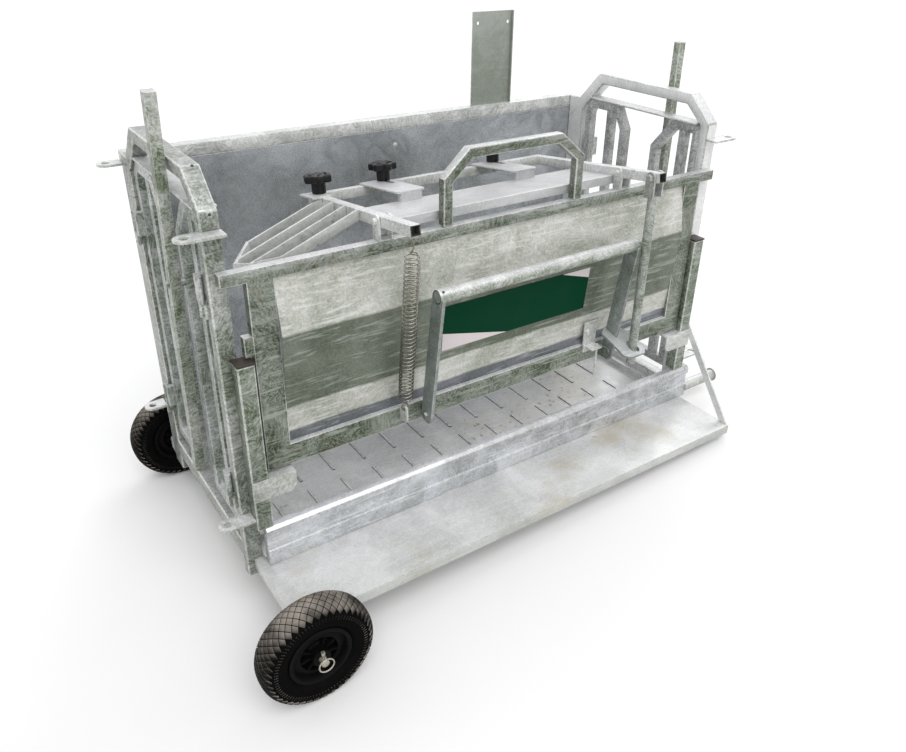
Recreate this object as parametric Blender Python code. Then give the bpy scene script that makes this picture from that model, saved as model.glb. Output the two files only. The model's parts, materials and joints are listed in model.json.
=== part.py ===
"""Sheep turnover crate: a galvanised handling crate with a squeeze cradle that tips outwards.

Metres, +Z up. X runs along the crate, the operator stands on the -Y side.
The origin is under the middle of the centre bearer, on the ground.
"""

import math

import bmesh
import bpy
from mathutils import Matrix, Vector

# Crate
LENGTH = 1.510
HALF = LENGTH / 2
FRONT = -0.292
BACK = 0.300
GAP = 0.0003
RUN = 0.001

# Square and rectangular tubes, flats and sheets
ARCH_WIDE = 0.040
ARCH_DEEP = 0.030
BACK_LEG_DEEP = 0.065
BASE_LOW = 0.050
BASE_HIGH = 0.100
POST = 0.040
SMALL_TUBE = 0.025
SHEET = 0.003
PLATE = 0.005

# Arch outline
ARCH_TOP = 1.015
ARCH_SHOULDER = 0.943
ARCH_CHAMFER = 0.077
ARCH_BACK_CORNER = 0.169
ARCH_BACK_FOOT = 0.252

# Back wall
RAIL_TOP = 0.927
RAIL_DEEP = 0.035
RAIL_END_ROUND = 0.014
BACK_SHEET_LOW = 0.020
BACK_FOOT_TOP = 0.060
TALL_PLATE_X = 0.3885
TALL_PLATE_WIDE = 0.150
TALL_PLATE_TOP = 1.203
TALL_PLATE_Y = 0.315
TALL_PLATE_LIP = 0.022

# Base
FLOOR_TOP = 0.060
FLOOR_SHEET = 0.004
RIB_HIGH = 0.003
RIB_WIDE = 0.008
RIB_LONG = 0.094
RIB_PITCH_X = 0.100
RIB_PITCH_Y = 0.140
RIB_ROWS = 4
FIRST_RIB_ROW = -0.178
RIB_OFF_CENTRE = -0.0165
KERB_HIGH = 0.020
KERB_INNER = 0.690
KERB_FRONT = -0.250
KERB_BACK = 0.280
BEARER_WIDE = 0.040
BEARER_FRONT = -0.290
SILL_TOP = 0.162
SILL_FACE = -0.337
SILL_BACK = -0.310
SILL_WEB = -0.330
SILL_BAR_LOW = 0.133
SILL_FOOT_TOP = 0.092
SILL_LEFT = -0.7125
SILL_RIGHT = 0.7585
HANDLE_RADIUS = 0.018
HANDLE_REACH = 0.145
HANDLE_Y = -0.323
HANDLE_Z = 0.078

# Corner posts and stop brackets
POST_INNER = 0.691
POST_TOP = 0.606
CAP_HIGH = 0.005
CAP_OVER = 0.001
BRACKET_TOP = 0.305
BRACKET_LOW = 0.250
BRACKET_REACH = 0.066

# Lifting lugs
LUG_THICK = 0.006
LUG_UPPER_Z = 0.900
LUG_LOWER_Z = 0.193
LUG_HOLE_OUT = 0.0365
LUG_HOLE_RADIUS = 0.010
LUG_END_RADIUS = 0.0225
LUG_FRONT_Y = -0.307
LUG_BACK_Y = 0.310
LUG_ROOT_IN = 0.0415

# Platform
PLATFORM_FRONT = -0.540
PLATFORM_BACK = -0.2925
WHEEL_X = -0.725
PLATFORM_PAST_AXLE = 0.0125
PLATFORM_HALF = PLATFORM_PAST_AXLE - WHEEL_X
PLATFORM_LIP_LOW = 0.020
BRACE_THICK = 0.006
BRACE_WIDE = 0.022
BRACE_TOP = (-0.320, 0.315)
BRACE_FOOT = (-0.515, 0.0503)

# Wheels, which reach lower than the feet
WHEEL_RADIUS = 0.135
TYRE_WIDE = 0.080
TYRE_INNER = 0.070
WHEEL_Z = 0.036
FRONT_WHEEL_Y = -0.610
REAR_WHEEL_Y = 0.380
AXLE_RADIUS = 0.009
AXLE_RUN = 0.0003
HUB_RADIUS = 0.020
AXLE_OUT = 0.014

# Gates
GATE_TUBE = 0.025
GATE_LOW = 0.136
GATE_LEG_GAP = 0.0035
GUIDE_Z = 0.935
GUIDE_WIDE = 0.050
GUIDE_IN = 0.007
GUIDE_FRONT = -0.2545
GUIDE_BACK = 0.1905
FRONT_GATE_TOP = 0.930
FRONT_GATE_INNER = -0.078
FRONT_GATE_CHAMFER_Y = -0.153
FRONT_GATE_CHAMFER_Z = 0.840
FRONT_GATE_BAR_Y = -0.195
BACK_GATE_TOP = 0.930
BACK_GATE_OUTER = 0.223
BACK_GATE_CORNER_Y = 0.198
BACK_GATE_CORNER_Z = 0.895
BACK_GATE_INNER = 0.035
BACK_GATE_CHAMFER_Y = 0.075
BACK_GATE_CHAMFER_Z = 0.863
BACK_GATE_BAR_Y = 0.1125
HINGE_OUT = 0.0085
HINGE_RADIUS = 0.007
HINGE_HEIGHTS = (0.24, 0.74)
HINGE_LONG = 0.060
FRONT_HINGE_Y = -0.2605
BACK_HINGE_Y = 0.2285
LEVER_TOP = 1.140
LEVER_LOW = 0.180
LEVER_PIVOT_Z = 0.725
LEVER_Y = -0.097
LEFT_LEVER_Y = -0.093
LEFT_LEVER_TOP = 1.150
LEFT_LEVER_LEAN = math.radians(6)
BOLT_RADIUS = 0.006
BOLT_HEAD_RADIUS = 0.0095
BOLT_HEAD_HIGH = 0.007
LEVER_SPACER = 0.004
PLUG_WALL = 0.003
PLUG_LONG = 0.011

# Cradle
CRADLE_DEEP = 0.0255
CRADLE_RAIL_HALF = 0.739
CRADLE_TOP = 0.815
CRADLE_RAIL_HIGH = 0.028
CRADLE_LOW = 0.313
CRADLE_FOOT_HIGH = 0.054
STILE_OUTER = 0.684
STILE_WIDE = 0.060
CRADLE_AXIS_Z = 0.340
PIN_RADIUS = 0.008
KNEE_OUT = 0.014
KNEE_Z = 0.650
SHEET_TOP_IN = 0.009
SHEET_FOOT_IN = 0.013
CLIP_LOW = 0.617
CLIP_HIGH = 0.663
CLIP_REACH = 0.0195
SIGN_LEFT = -0.2065
SIGN_RIGHT = 0.2685
SIGN_LOW = 0.491
SIGN_HIGH = 0.617
SIGN_THICK = 0.002
HOOP_LEFT = -0.2015
HOOP_RIGHT = 0.2235
HOOP_TOP = 0.993
HOOP_SHOULDER = 0.930
HOOP_CHAMFER_LEFT = 0.069
HOOP_CHAMFER_RIGHT = 0.077

# Clamp, in its own frame: y runs back along the arms, z square to them
CLAMP_TILT = math.radians(-7.65)
CLAMP_PIVOT_Z = 0.8587
LEFT_ARM_X = -0.3565
RIGHT_ARM_X = 0.3785
ARM_FRONT = -0.1413
ARM_BACK = 0.3705
ARM_WALL = 0.0025
BORE_LONG = 0.020
PAD_FRONT = 0.020
PAD_LOW = -0.030
PAD_PLATE_TOP = -0.008
PAD_PLATE_BACK = 0.192
SPACER_FRONT = 0.172
SLOTTED_FRONT = 0.1715
SLOTTED_BACK = 0.372
SLOTTED_WIDE = 0.085
SLOTTED_LEFT_OF_KNOB = 0.020
SLOT_WIDE = 0.0135
SLOT_FRONT = 0.2935
SLOT_BACK = 0.3575
KNOB_Y = 0.350
KNOB_XS = (-0.157, 0.205)
EAR_THICK = 0.005
EAR_RADIUS = 0.0153
BRACKET_BASE = 0.004
END_KNOB_Y = 0.325
END_TAB_LEFT = 0.040
END_TAB_FRONT = 0.280
END_TAB_BACK = 0.358

# Star knobs
KNOB_RADIUS = 0.033
KNOB_LOBE = 0.005
KNOB_LOBES = 6
KNOB_HEAD_HIGH = 0.021
KNOB_BOSS_RADIUS = 0.016
KNOB_BOSS_HIGH = 0.025
STUD_RADIUS = 0.006
STUD_LONG = 0.024

# Head guard
GUARD_SLOPE = math.radians(20)
GUARD_BAR_THICK = 0.008
GUARD_BAR_HIGH = 0.025
GUARD_BARS = ((0.2876, 0.2035), (0.222, 0.2590), (0.1564, 0.2492), (0.0908, 0.1975))
GUARD_NOSE = (0.2060, 0.2665)
GUARD_TOP = 0.0145

# Spring
SPRING_RADIUS = 0.01675
SPRING_WIRE = 0.00175
SPRING_CURLS = 38
SPRING_POINTS = 8
SPRING_TOP_TAIL = 0.035
SPRING_CLEAR = 0.0011
SPRING_FOOT_TAIL = 0.012
SPRING_FOOT_X = -0.3285
SPRING_FOOT_OUT = 0.022
SPRING_TOP_ARM = -0.133
EYE_THICK = 0.006
EYE_TOP = 0.385
EYE_LOW = 0.330
EYE_HOLE_RADIUS = 0.006

# Squeeze lever and rod
LEVER_LEFT_X = -0.2645
LEVER_RIGHT_X = 0.3580
LEVER_OUT = 0.026
LEVER_AXIS_Z = 0.335
LEVER_TILT = math.radians(8.3)
LEVER_REACH = 0.354
LEVER_TUBE_RADIUS = 0.0175
LEVER_ARM_THICK = 0.008
LEVER_ARM_WIDE = 0.045
LEVER_EAR_REACH = 0.036
ROD_RADIUS = 0.0125
ROD_FOOT = 0.330
ROD_PIN_ARM = -0.116
CLEVIS_BASE = 0.005
CLEVIS_DROP = 0.050
CLEVIS_HALF_DEEP = 0.016
TONGUE_BACK = (-0.325, 0.409)
TONGUE_FRONT = (-0.451, 0.368)
TONGUE_THICK = 0.008
TONGUE_LEFT = 0.3285
TONGUE_RIGHT = 0.4135
TONGUE_SLOT_WIDE = 0.028
TONGUE_SLOT_LONG = 0.046
LATCH_X = 0.303
LATCH_WIDE = 0.046
LATCH_TOP = 0.440
LATCH_LOW = 0.345
LATCH_PIN_RADIUS = 0.003
LATCH_PIN_LOW = 0.270

# Places that follow from the sizes above
CRADLE_FRONT = FRONT - GAP - CRADLE_DEEP
CRADLE_BACK = FRONT - GAP
CRADLE_AXIS_Y = (CRADLE_FRONT + CRADLE_BACK) / 2
POST_FRONT = FRONT - GAP - POST
ARM_HALF = SMALL_TUBE / 2
LEVER_AXIS_Y = CRADLE_FRONT - LEVER_OUT
LEVER_TURN_X = HALF + LEVER_SPACER + SMALL_TUBE / 2

GALVANISED = ("galvanised", (0.62, 0.65, 0.67, 1), 0.38, 0.95)
FINISHES = {
    "sheet": ("galvanised_sheet", (0.55, 0.58, 0.60, 1), 0.32, 0.95),
    "plastic": ("black_plastic", (0.02, 0.02, 0.02, 1), 0.5, 0.0),
    "rubber": ("tyre_rubber", (0.025, 0.025, 0.025, 1), 0.8, 0.0),
    "rim": ("black_rim", (0.03, 0.03, 0.03, 1), 0.45, 0.0),
    "zinc": ("bright_zinc", (0.75, 0.74, 0.70, 1), 0.3, 1.0),
    "spring": ("spring_wire", (0.36, 0.31, 0.25, 1), 0.4, 0.9),
    "sign": ("green_and_white", (0.02, 0.16, 0.08, 1), 0.35, 0.0),
}


def clear_scene():
    for obj in list(bpy.data.objects):
        bpy.data.objects.remove(obj)


def new_collection(name):
    made = bpy.data.collections.new(name)
    bpy.context.scene.collection.children.link(made)
    return made


def material(finish):
    name, colour, roughness, metallic = FINISHES.get(finish, GALVANISED)
    made = bpy.data.materials.get(name)
    if made:
        return made
    made = bpy.data.materials.new(name)
    made.use_nodes = True
    shader = made.node_tree.nodes["Principled BSDF"]
    shader.inputs["Base Color"].default_value = colour
    shader.inputs["Roughness"].default_value = roughness
    shader.inputs["Metallic"].default_value = metallic
    return made


def solid(mesh_maker, name="blank"):
    """An object whose mesh is filled by mesh_maker(bm)."""
    mesh = bpy.data.meshes.new(name)
    bm = bmesh.new()
    mesh_maker(bm)
    bmesh.ops.recalc_face_normals(bm, faces=bm.faces)
    bm.to_mesh(mesh)
    bm.free()
    made = bpy.data.objects.new(name, mesh)
    bpy.context.scene.collection.objects.link(made)
    return made


def box(x0, x1, y0, y1, z0, z1):
    size = Matrix.Diagonal((x1 - x0, y1 - y0, z1 - z0, 1))
    middle = Matrix.Translation(((x0 + x1) / 2, (y0 + y1) / 2, (z0 + z1) / 2))
    return solid(lambda bm: bmesh.ops.create_cube(bm, size=1, matrix=middle @ size))


def cylinder(start, end, radius, sides=16):
    start, end = Vector(start), Vector(end)
    run = end - start
    turn = run.to_track_quat("Z", "Y").to_matrix().to_4x4()
    place = Matrix.Translation((start + end) / 2) @ turn

    def make(bm):
        bmesh.ops.create_cone(
            bm, cap_ends=True, segments=sides, radius1=radius, radius2=radius, depth=run.length, matrix=place
        )

    return solid(make)


def flat_bar(start, end, thick_x, wide):
    """A bar from start to end in the YZ plane, thick_x along X and wide across its run."""
    start, end = Vector(start), Vector(end)
    run = end - start
    turn = Matrix.Rotation(math.atan2(run.z, run.y), 4, "X")
    place = Matrix.Translation((start + end) / 2) @ turn @ Matrix.Diagonal((thick_x, run.length, wide, 1))
    return solid(lambda bm: bmesh.ops.create_cube(bm, size=1, matrix=place))


def extrusion(outlines, low, high, plane):
    """Outlines, the outer one first and then its holes, extruded from low to high across the plane."""
    curve = bpy.data.curves.new("outline", "CURVE")
    curve.dimensions = "2D"
    curve.fill_mode = "BOTH"
    curve.extrude = (high - low) / 2
    for points in outlines:
        spline = curve.splines.new("POLY")
        spline.points.add(len(points) - 1)
        for place, (u, v) in zip(spline.points, points):
            place.co = (u, v, 0, 1)
        spline.use_cyclic_u = True
    guide = bpy.data.objects.new("outline", curve)
    bpy.context.scene.collection.objects.link(guide)
    made = as_mesh(guide)
    middle = (low + high) / 2
    turns = {
        "XY": Matrix.Translation((0, 0, middle)),
        "YZ": Matrix(((0, 0, 1, middle), (1, 0, 0, 0), (0, 1, 0, 0), (0, 0, 0, 1))),
        "XZ": Matrix(((1, 0, 0, 0), (0, 0, -1, middle), (0, 1, 0, 0), (0, 0, 0, 1))),
    }
    made.data.transform(turns[plane])
    return made


def as_mesh(source):
    """The evaluated source as a welded mesh object; the source is removed."""
    bpy.context.view_layer.update()
    graph = bpy.context.evaluated_depsgraph_get()
    mesh = bpy.data.meshes.new_from_object(source.evaluated_get(graph))
    bm = bmesh.new()
    bm.from_mesh(mesh)
    bmesh.ops.remove_doubles(bm, verts=bm.verts, dist=0.00001)
    bmesh.ops.dissolve_degenerate(bm, edges=bm.edges, dist=0.000001)
    bmesh.ops.recalc_face_normals(bm, faces=bm.faces)
    bm.to_mesh(mesh)
    bm.free()
    made = bpy.data.objects.new("mesh", mesh)
    bpy.context.scene.collection.objects.link(made)
    made.matrix_world = source.matrix_world
    bpy.data.objects.remove(source)
    return made


def arc(centre_u, centre_v, radius, start, end, steps):
    """Points on an arc, its angles in degrees."""
    angles = [math.radians(start + (end - start) * step / steps) for step in range(steps + 1)]
    return [(centre_u + radius * math.cos(a), centre_v + radius * math.sin(a)) for a in angles]


def circle(centre_u, centre_v, radius, steps=16):
    return arc(centre_u, centre_v, radius, 0, 360, steps)[:-1]


def combine(target, others, operation):
    for other in others:
        change = target.modifiers.new("change", "BOOLEAN")
        change.object = other
        change.operation = operation
    made = as_mesh(target)
    for other in others:
        bpy.data.objects.remove(other)
    return made


def joined(first, *others):
    return combine(first, others, "UNION")


def cut(target, *others):
    return combine(target, others, "DIFFERENCE")


def mirrored(source):
    """A copy of the source mirrored to the other end of the crate."""
    made = source.copy()
    made.data = source.data.copy()
    made.data.transform(Matrix.Diagonal((-1, 1, 1, 1)))
    made.data.flip_normals()
    bpy.context.scene.collection.objects.link(made)
    return made


def place(source, name, finish="", parent=None, origin=None):
    """Name a finished sub-part, give it its material and put its origin on its joint."""
    source.name = name
    source.data.name = name
    source.data.materials.clear()
    source.data.materials.append(material(finish))
    source.data.shade_smooth()
    source.data.set_sharp_from_angle(angle=math.radians(35))
    if origin:
        source.data.transform(Matrix.Translation(-Vector(origin)))
        source.matrix_world = Matrix.Translation(origin) @ source.matrix_world
    if parent:
        source.parent = parent
    bpy.context.scene.collection.objects.unlink(source)
    PARTS.objects.link(source)
    return source


def pivot_empty(name, origin, tilt=0.0, parent=None):
    made = bpy.data.objects.new(name, None)
    made.location = origin
    made.rotation_euler = (tilt, 0, 0)
    made.empty_display_size = 0.05
    made.parent = parent
    PARTS.objects.link(made)
    return made


def arch():
    """The left end arch with its base member, as one welded ring."""
    leg_back = FRONT + ARCH_DEEP
    back = BACK - GAP
    back_leg = back - BACK_LEG_DEEP
    top_in = ARCH_TOP - ARCH_DEEP
    outer = [
        (FRONT, 0),
        (leg_back, 0),
        (leg_back, BASE_LOW),
        (back_leg, BASE_LOW),
        (back_leg, 0),
        (back, 0),
        (back, RAIL_TOP),
        (ARCH_BACK_FOOT, RAIL_TOP),
        (ARCH_BACK_CORNER, ARCH_TOP),
        (FRONT + ARCH_CHAMFER, ARCH_TOP),
        (FRONT, ARCH_SHOULDER),
    ]
    bore = [
        (leg_back, BASE_HIGH),
        (back_leg, BASE_HIGH),
        (back_leg, RAIL_TOP - 0.032),
        (back_leg - 0.0105, RAIL_TOP - 0.022),
        (ARCH_BACK_CORNER - 0.021, top_in),
        (FRONT + ARCH_CHAMFER + 0.012, top_in),
        (leg_back, ARCH_SHOULDER - 0.009),
    ]
    return extrusion([outer, bore], -HALF, -HALF + ARCH_WIDE, "YZ")


def fixed_knuckles():
    """The lower halves of the gate hinges, on the outside of the left arch's legs."""
    made = []
    x = -HALF - HINGE_OUT
    for y, leg_side in ((FRONT_HINGE_Y, -1), (BACK_HINGE_Y, 1)):
        for gate_knuckle_low in HINGE_HEIGHTS:
            top = gate_knuckle_low - GAP
            low = top - HINGE_LONG / 2
            made.append(cylinder((x, y, low), (x, y, top), HINGE_RADIUS, 12))
            y0, y1 = sorted((y, y + leg_side * 0.018))
            made.append(box(x, -HALF + 0.002, y0, y1, low, top))
    return made


def end_arches():
    left = joined(arch(), *fixed_knuckles())
    right = mirrored(left)
    left = cut(left, axle_hole(FRONT - 0.01, BACK + 0.01))
    place(left, "left_end_arch")
    place(right, "right_end_arch")


def rounded_rail(half, y0, y1, z0, z1, radius):
    """A rail along X whose upright back corners are rounded."""
    front = [(half, y0), (-half, y0)]
    left = arc(-half + radius, y1 - radius, radius, 180, 90, 4)
    right = arc(half - radius, y1 - radius, radius, 90, 0, 4)
    return extrusion([front + left + right], z0, z1, "XY")


def back_wall():
    rail = rounded_rail(HALF, BACK, BACK + RAIL_DEEP, RAIL_TOP - RAIL_DEEP, RAIL_TOP, RAIL_END_ROUND)
    place(rail, "back_top_rail")
    sheet_top = RAIL_TOP - RAIL_DEEP - GAP
    sheet = box(-HALF, HALF, BACK, BACK + SHEET, BACK_SHEET_LOW, sheet_top)
    place(cut(sheet, axle_hole(BACK - 0.01, BACK + 0.01)), "back_sheet", "sheet")
    foot_front = BACK + SHEET + GAP
    foot = box(-HALF, HALF, foot_front, foot_front + ARCH_DEEP, BACK_SHEET_LOW, BACK_FOOT_TOP)
    place(cut(foot, axle_hole(BACK, BACK + 0.05)), "back_bottom_rail")
    tall_back_plate()


def tall_back_plate():
    """The tall plate that stands on the back rail, with a lip folded forward on its right edge."""
    left = TALL_PLATE_X - TALL_PLATE_WIDE / 2
    right = TALL_PLATE_X + TALL_PLATE_WIDE / 2
    low = RAIL_TOP + GAP
    hole_z = TALL_PLATE_TOP - 0.033
    outline = [(left, low), (right, low), (right, TALL_PLATE_TOP), (left, TALL_PLATE_TOP)]
    holes = [circle(x, hole_z, 0.005, 12) for x in (left + 0.021, right - 0.016)]
    web = extrusion([outline] + holes, TALL_PLATE_Y, TALL_PLATE_Y + SHEET, "XZ")
    lip_back = TALL_PLATE_Y + SHEET / 2
    lip = box(right - SHEET, right, lip_back - TALL_PLATE_LIP / 2, lip_back, low, TALL_PLATE_TOP)
    place(joined(web, lip), "tall_back_plate", "sheet")


def ribbed_floor():
    edge = HALF - ARCH_WIDE - GAP
    low = FLOOR_TOP - FLOOR_SHEET
    sheet = box(-edge, edge, SILL_BACK + GAP, BACK - GAP, low, FLOOR_TOP)
    kerb_low = FLOOR_TOP - FLOOR_SHEET / 2
    kerb_top = FLOOR_TOP + KERB_HIGH
    kerbs = [
        box(-edge, -KERB_INNER, KERB_FRONT, KERB_BACK, kerb_low, kerb_top),
        box(KERB_INNER, edge, KERB_FRONT, KERB_BACK, kerb_low, kerb_top),
    ]

    def ribs(bm):
        for row in range(RIB_ROWS):
            y = FIRST_RIB_ROW + row * RIB_PITCH_Y
            for column in range(-6, 7):
                x = column * RIB_PITCH_X + RIB_OFF_CENTRE
                middle = Matrix.Translation((x, y, FLOOR_TOP))
                size = Matrix.Diagonal((RIB_WIDE, RIB_LONG, 2 * RIB_HIGH, 1))
                bmesh.ops.create_cube(bm, size=1, matrix=middle @ size)

    place(joined(sheet, *kerbs, solid(ribs)), "ribbed_floor", "sheet")


def front_sill():
    """The folded sill that closes the front of the floor and carries the corner posts."""
    profile = [
        (SILL_BACK, BASE_LOW),
        (SILL_BACK, SILL_TOP),
        (SILL_FACE + 0.008, SILL_TOP),
        (SILL_FACE, SILL_TOP - 0.008),
        (SILL_FACE, SILL_BAR_LOW + 0.002),
        (SILL_WEB, SILL_BAR_LOW),
        (SILL_WEB, SILL_FOOT_TOP + 0.002),
        (SILL_FACE + 0.002, SILL_FOOT_TOP),
        (SILL_FACE + 0.002, BASE_LOW),
    ]
    place(extrusion([profile], SILL_LEFT, SILL_RIGHT, "YZ"), "front_sill")


def lift_handle():
    """The round handle at the foot of the right end, with a rounded tip."""
    start = SILL_RIGHT + GAP
    turn = Matrix.Rotation(math.pi / 2, 4, "Y")
    middle = Matrix.Translation((start + HANDLE_REACH / 2, HANDLE_Y, HANDLE_Z)) @ turn
    radius = HANDLE_RADIUS

    def make(bm):
        bmesh.ops.create_cone(
            bm, cap_ends=True, segments=20, radius1=radius, radius2=radius, depth=HANDLE_REACH, matrix=middle
        )
        tip = [edge for edge in bm.edges if min(v.co.x for v in edge.verts) > start + HANDLE_REACH / 2]
        bmesh.ops.bevel(bm, geom=tip, offset=radius * 0.4, segments=3, profile=0.5, affect="EDGES")

    place(solid(make), "lift_handle")


def bearer():
    half = BEARER_WIDE / 2
    top = FLOOR_TOP - FLOOR_SHEET - GAP
    place(box(-half, half, BEARER_FRONT, BACK - GAP, 0, top), "base_bearer")


def corner_posts():
    outer = POST_INNER + POST
    post = box(-outer, -POST_INNER, POST_FRONT, FRONT - GAP, SILL_TOP + GAP, POST_TOP)
    hole_start = (-POST_INNER - 0.014, CRADLE_AXIS_Y, CRADLE_AXIS_Z)
    hole_end = (-POST_INNER + 0.010, CRADLE_AXIS_Y, CRADLE_AXIS_Z)
    post = cut(post, cylinder(hole_start, hole_end, PIN_RADIUS + RUN / 2))
    cap_low = POST_TOP + GAP
    cap = box(
        -outer - CAP_OVER,
        -POST_INNER + CAP_OVER,
        POST_FRONT - CAP_OVER,
        FRONT - GAP,
        cap_low,
        cap_low + CAP_HIGH,
    )
    right_post = mirrored(post)
    right_cap = mirrored(cap)
    place(post, "left_corner_post")
    place(right_post, "right_corner_post")
    place(cap, "left_post_cap", "plastic")
    place(right_cap, "right_post_cap", "plastic")


def stop_brackets():
    """The L brackets in front of the posts that the cradle's lower corners stop on."""
    outer = POST_INNER + POST
    inner = POST_INNER - BRACKET_REACH
    low_round = 0.020
    face_outline = [(-outer, BRACKET_LOW), (-outer, BRACKET_TOP), (-inner, BRACKET_TOP)]
    corner = arc(-inner - low_round, BRACKET_LOW + low_round, low_round, 0, -90, 4)
    face_back = POST_FRONT - GAP
    face = extrusion([face_outline + corner], face_back - PLATE, face_back, "XZ")
    shelf = box(
        -POST_INNER + GAP, -inner, face_back - PLATE / 2, FRONT - GAP, BRACKET_TOP - PLATE - RUN, BRACKET_TOP
    )
    left = joined(face, shelf)
    right = mirrored(left)
    place(left, "left_stop_bracket")
    place(right, "right_stop_bracket")


def front_lug(height):
    """A lug plate wrapped round the front corner of the left end."""
    hole_x = -HALF - LUG_HOLE_OUT
    tip = arc(hole_x, LUG_FRONT_Y, LUG_END_RADIUS, 90, 270, 8)
    front = LUG_FRONT_Y - LUG_END_RADIUS
    inner = -HALF + LUG_ROOT_IN
    outline = tip + [
        (inner, front),
        (inner, FRONT - GAP),
        (-HALF - GAP, FRONT - GAP),
        (-HALF - GAP, LUG_FRONT_Y + LUG_END_RADIUS),
    ]
    hole = circle(hole_x, LUG_FRONT_Y, LUG_HOLE_RADIUS)
    return extrusion([outline, hole], height - LUG_THICK / 2, height + LUG_THICK / 2, "XY")


def lower_front_lug(height):
    """The lower lug stops short of the corner post."""
    hole_x = -HALF - LUG_HOLE_OUT
    tip = arc(hole_x, LUG_FRONT_Y, LUG_END_RADIUS, 90, 270, 8)
    inner = -POST_INNER - POST - GAP
    outline = tip + [
        (inner, LUG_FRONT_Y - LUG_END_RADIUS),
        (inner, FRONT - GAP),
        (-HALF - GAP, FRONT - GAP),
        (-HALF - GAP, LUG_FRONT_Y + LUG_END_RADIUS),
    ]
    hole = circle(hole_x, LUG_FRONT_Y, LUG_HOLE_RADIUS)
    return extrusion([outline, hole], height - LUG_THICK / 2, height + LUG_THICK / 2, "XY")


def back_lug(height):
    hole_x = -HALF - LUG_HOLE_OUT
    tip = arc(hole_x, LUG_BACK_Y, LUG_END_RADIUS, 90, 270, 8)
    root = -HALF - GAP
    outline = tip + [(root, LUG_BACK_Y - LUG_END_RADIUS), (root, LUG_BACK_Y + LUG_END_RADIUS)]
    hole = circle(hole_x, LUG_BACK_Y, LUG_HOLE_RADIUS)
    return extrusion([outline, hole], height - LUG_THICK / 2, height + LUG_THICK / 2, "XY")


def lugs():
    kinds = (
        ("upper_front", front_lug(LUG_UPPER_Z)),
        ("lower_front", lower_front_lug(LUG_LOWER_Z)),
        ("upper_back", back_lug(LUG_UPPER_Z)),
        ("lower_back", back_lug(LUG_LOWER_Z)),
    )
    for kind, left in kinds:
        right = mirrored(left)
        place(left, "left_" + kind + "_lug")
        place(right, "right_" + kind + "_lug")


def platform():
    """The operator's tread plate, with lips folded down at the front and ends."""
    top = BASE_LOW - GAP
    lip_top = top - SHEET / 2
    tread = box(-PLATFORM_HALF, PLATFORM_HALF, PLATFORM_FRONT, PLATFORM_BACK, top - SHEET, top)
    front_back = PLATFORM_FRONT + SHEET
    front = box(-PLATFORM_HALF, PLATFORM_HALF, PLATFORM_FRONT, front_back, PLATFORM_LIP_LOW, lip_top)
    inner = PLATFORM_HALF - SHEET
    end_front = PLATFORM_FRONT + SHEET / 2
    ends = [
        box(-PLATFORM_HALF, -inner, end_front, PLATFORM_BACK, PLATFORM_LIP_LOW, lip_top),
        box(inner, PLATFORM_HALF, end_front, PLATFORM_BACK, PLATFORM_LIP_LOW, lip_top),
    ]
    made = cut(joined(tread, front, *ends), axle_hole(PLATFORM_FRONT - 0.01, PLATFORM_FRONT + 0.01))
    place(made, "platform", "sheet")


def platform_brace():
    """The flat stay from the right corner post down to the platform."""
    face = POST_INNER + POST + GAP
    middle = face + BRACE_THICK / 2
    foot_y, foot_z = BRACE_FOOT
    stay = flat_bar((middle, *BRACE_TOP), (middle, foot_y - 0.02, foot_z - 0.02), BRACE_THICK, BRACE_WIDE)
    stay = cut(stay, box(face - 0.05, face + 0.05, foot_y - 0.1, foot_y + 0.1, foot_z - 0.08, foot_z))
    bolt_y, bolt_z = -0.395, 0.213
    head = cylinder((face, bolt_y, bolt_z), (face + BRACE_THICK + BOLT_HEAD_HIGH, bolt_y, bolt_z), BOLT_HEAD_RADIUS, 6)
    place(joined(stay, head), "platform_brace")


def turned(profile, steps):
    """A closed profile of (radius, y) points turned about the Y axis."""

    def make(bm):
        rings = []
        for step in range(steps):
            turn = Matrix.Rotation(2 * math.pi * step / steps, 3, "Y")
            rings.append([bm.verts.new(turn @ Vector((radius, y, 0))) for radius, y in profile])
        count = len(profile)
        for step in range(steps):
            ring, following = rings[step], rings[(step + 1) % steps]
            for index in range(count):
                after = (index + 1) % count
                bm.faces.new((ring[index], ring[after], following[after], following[index]))

    return solid(make)


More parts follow.
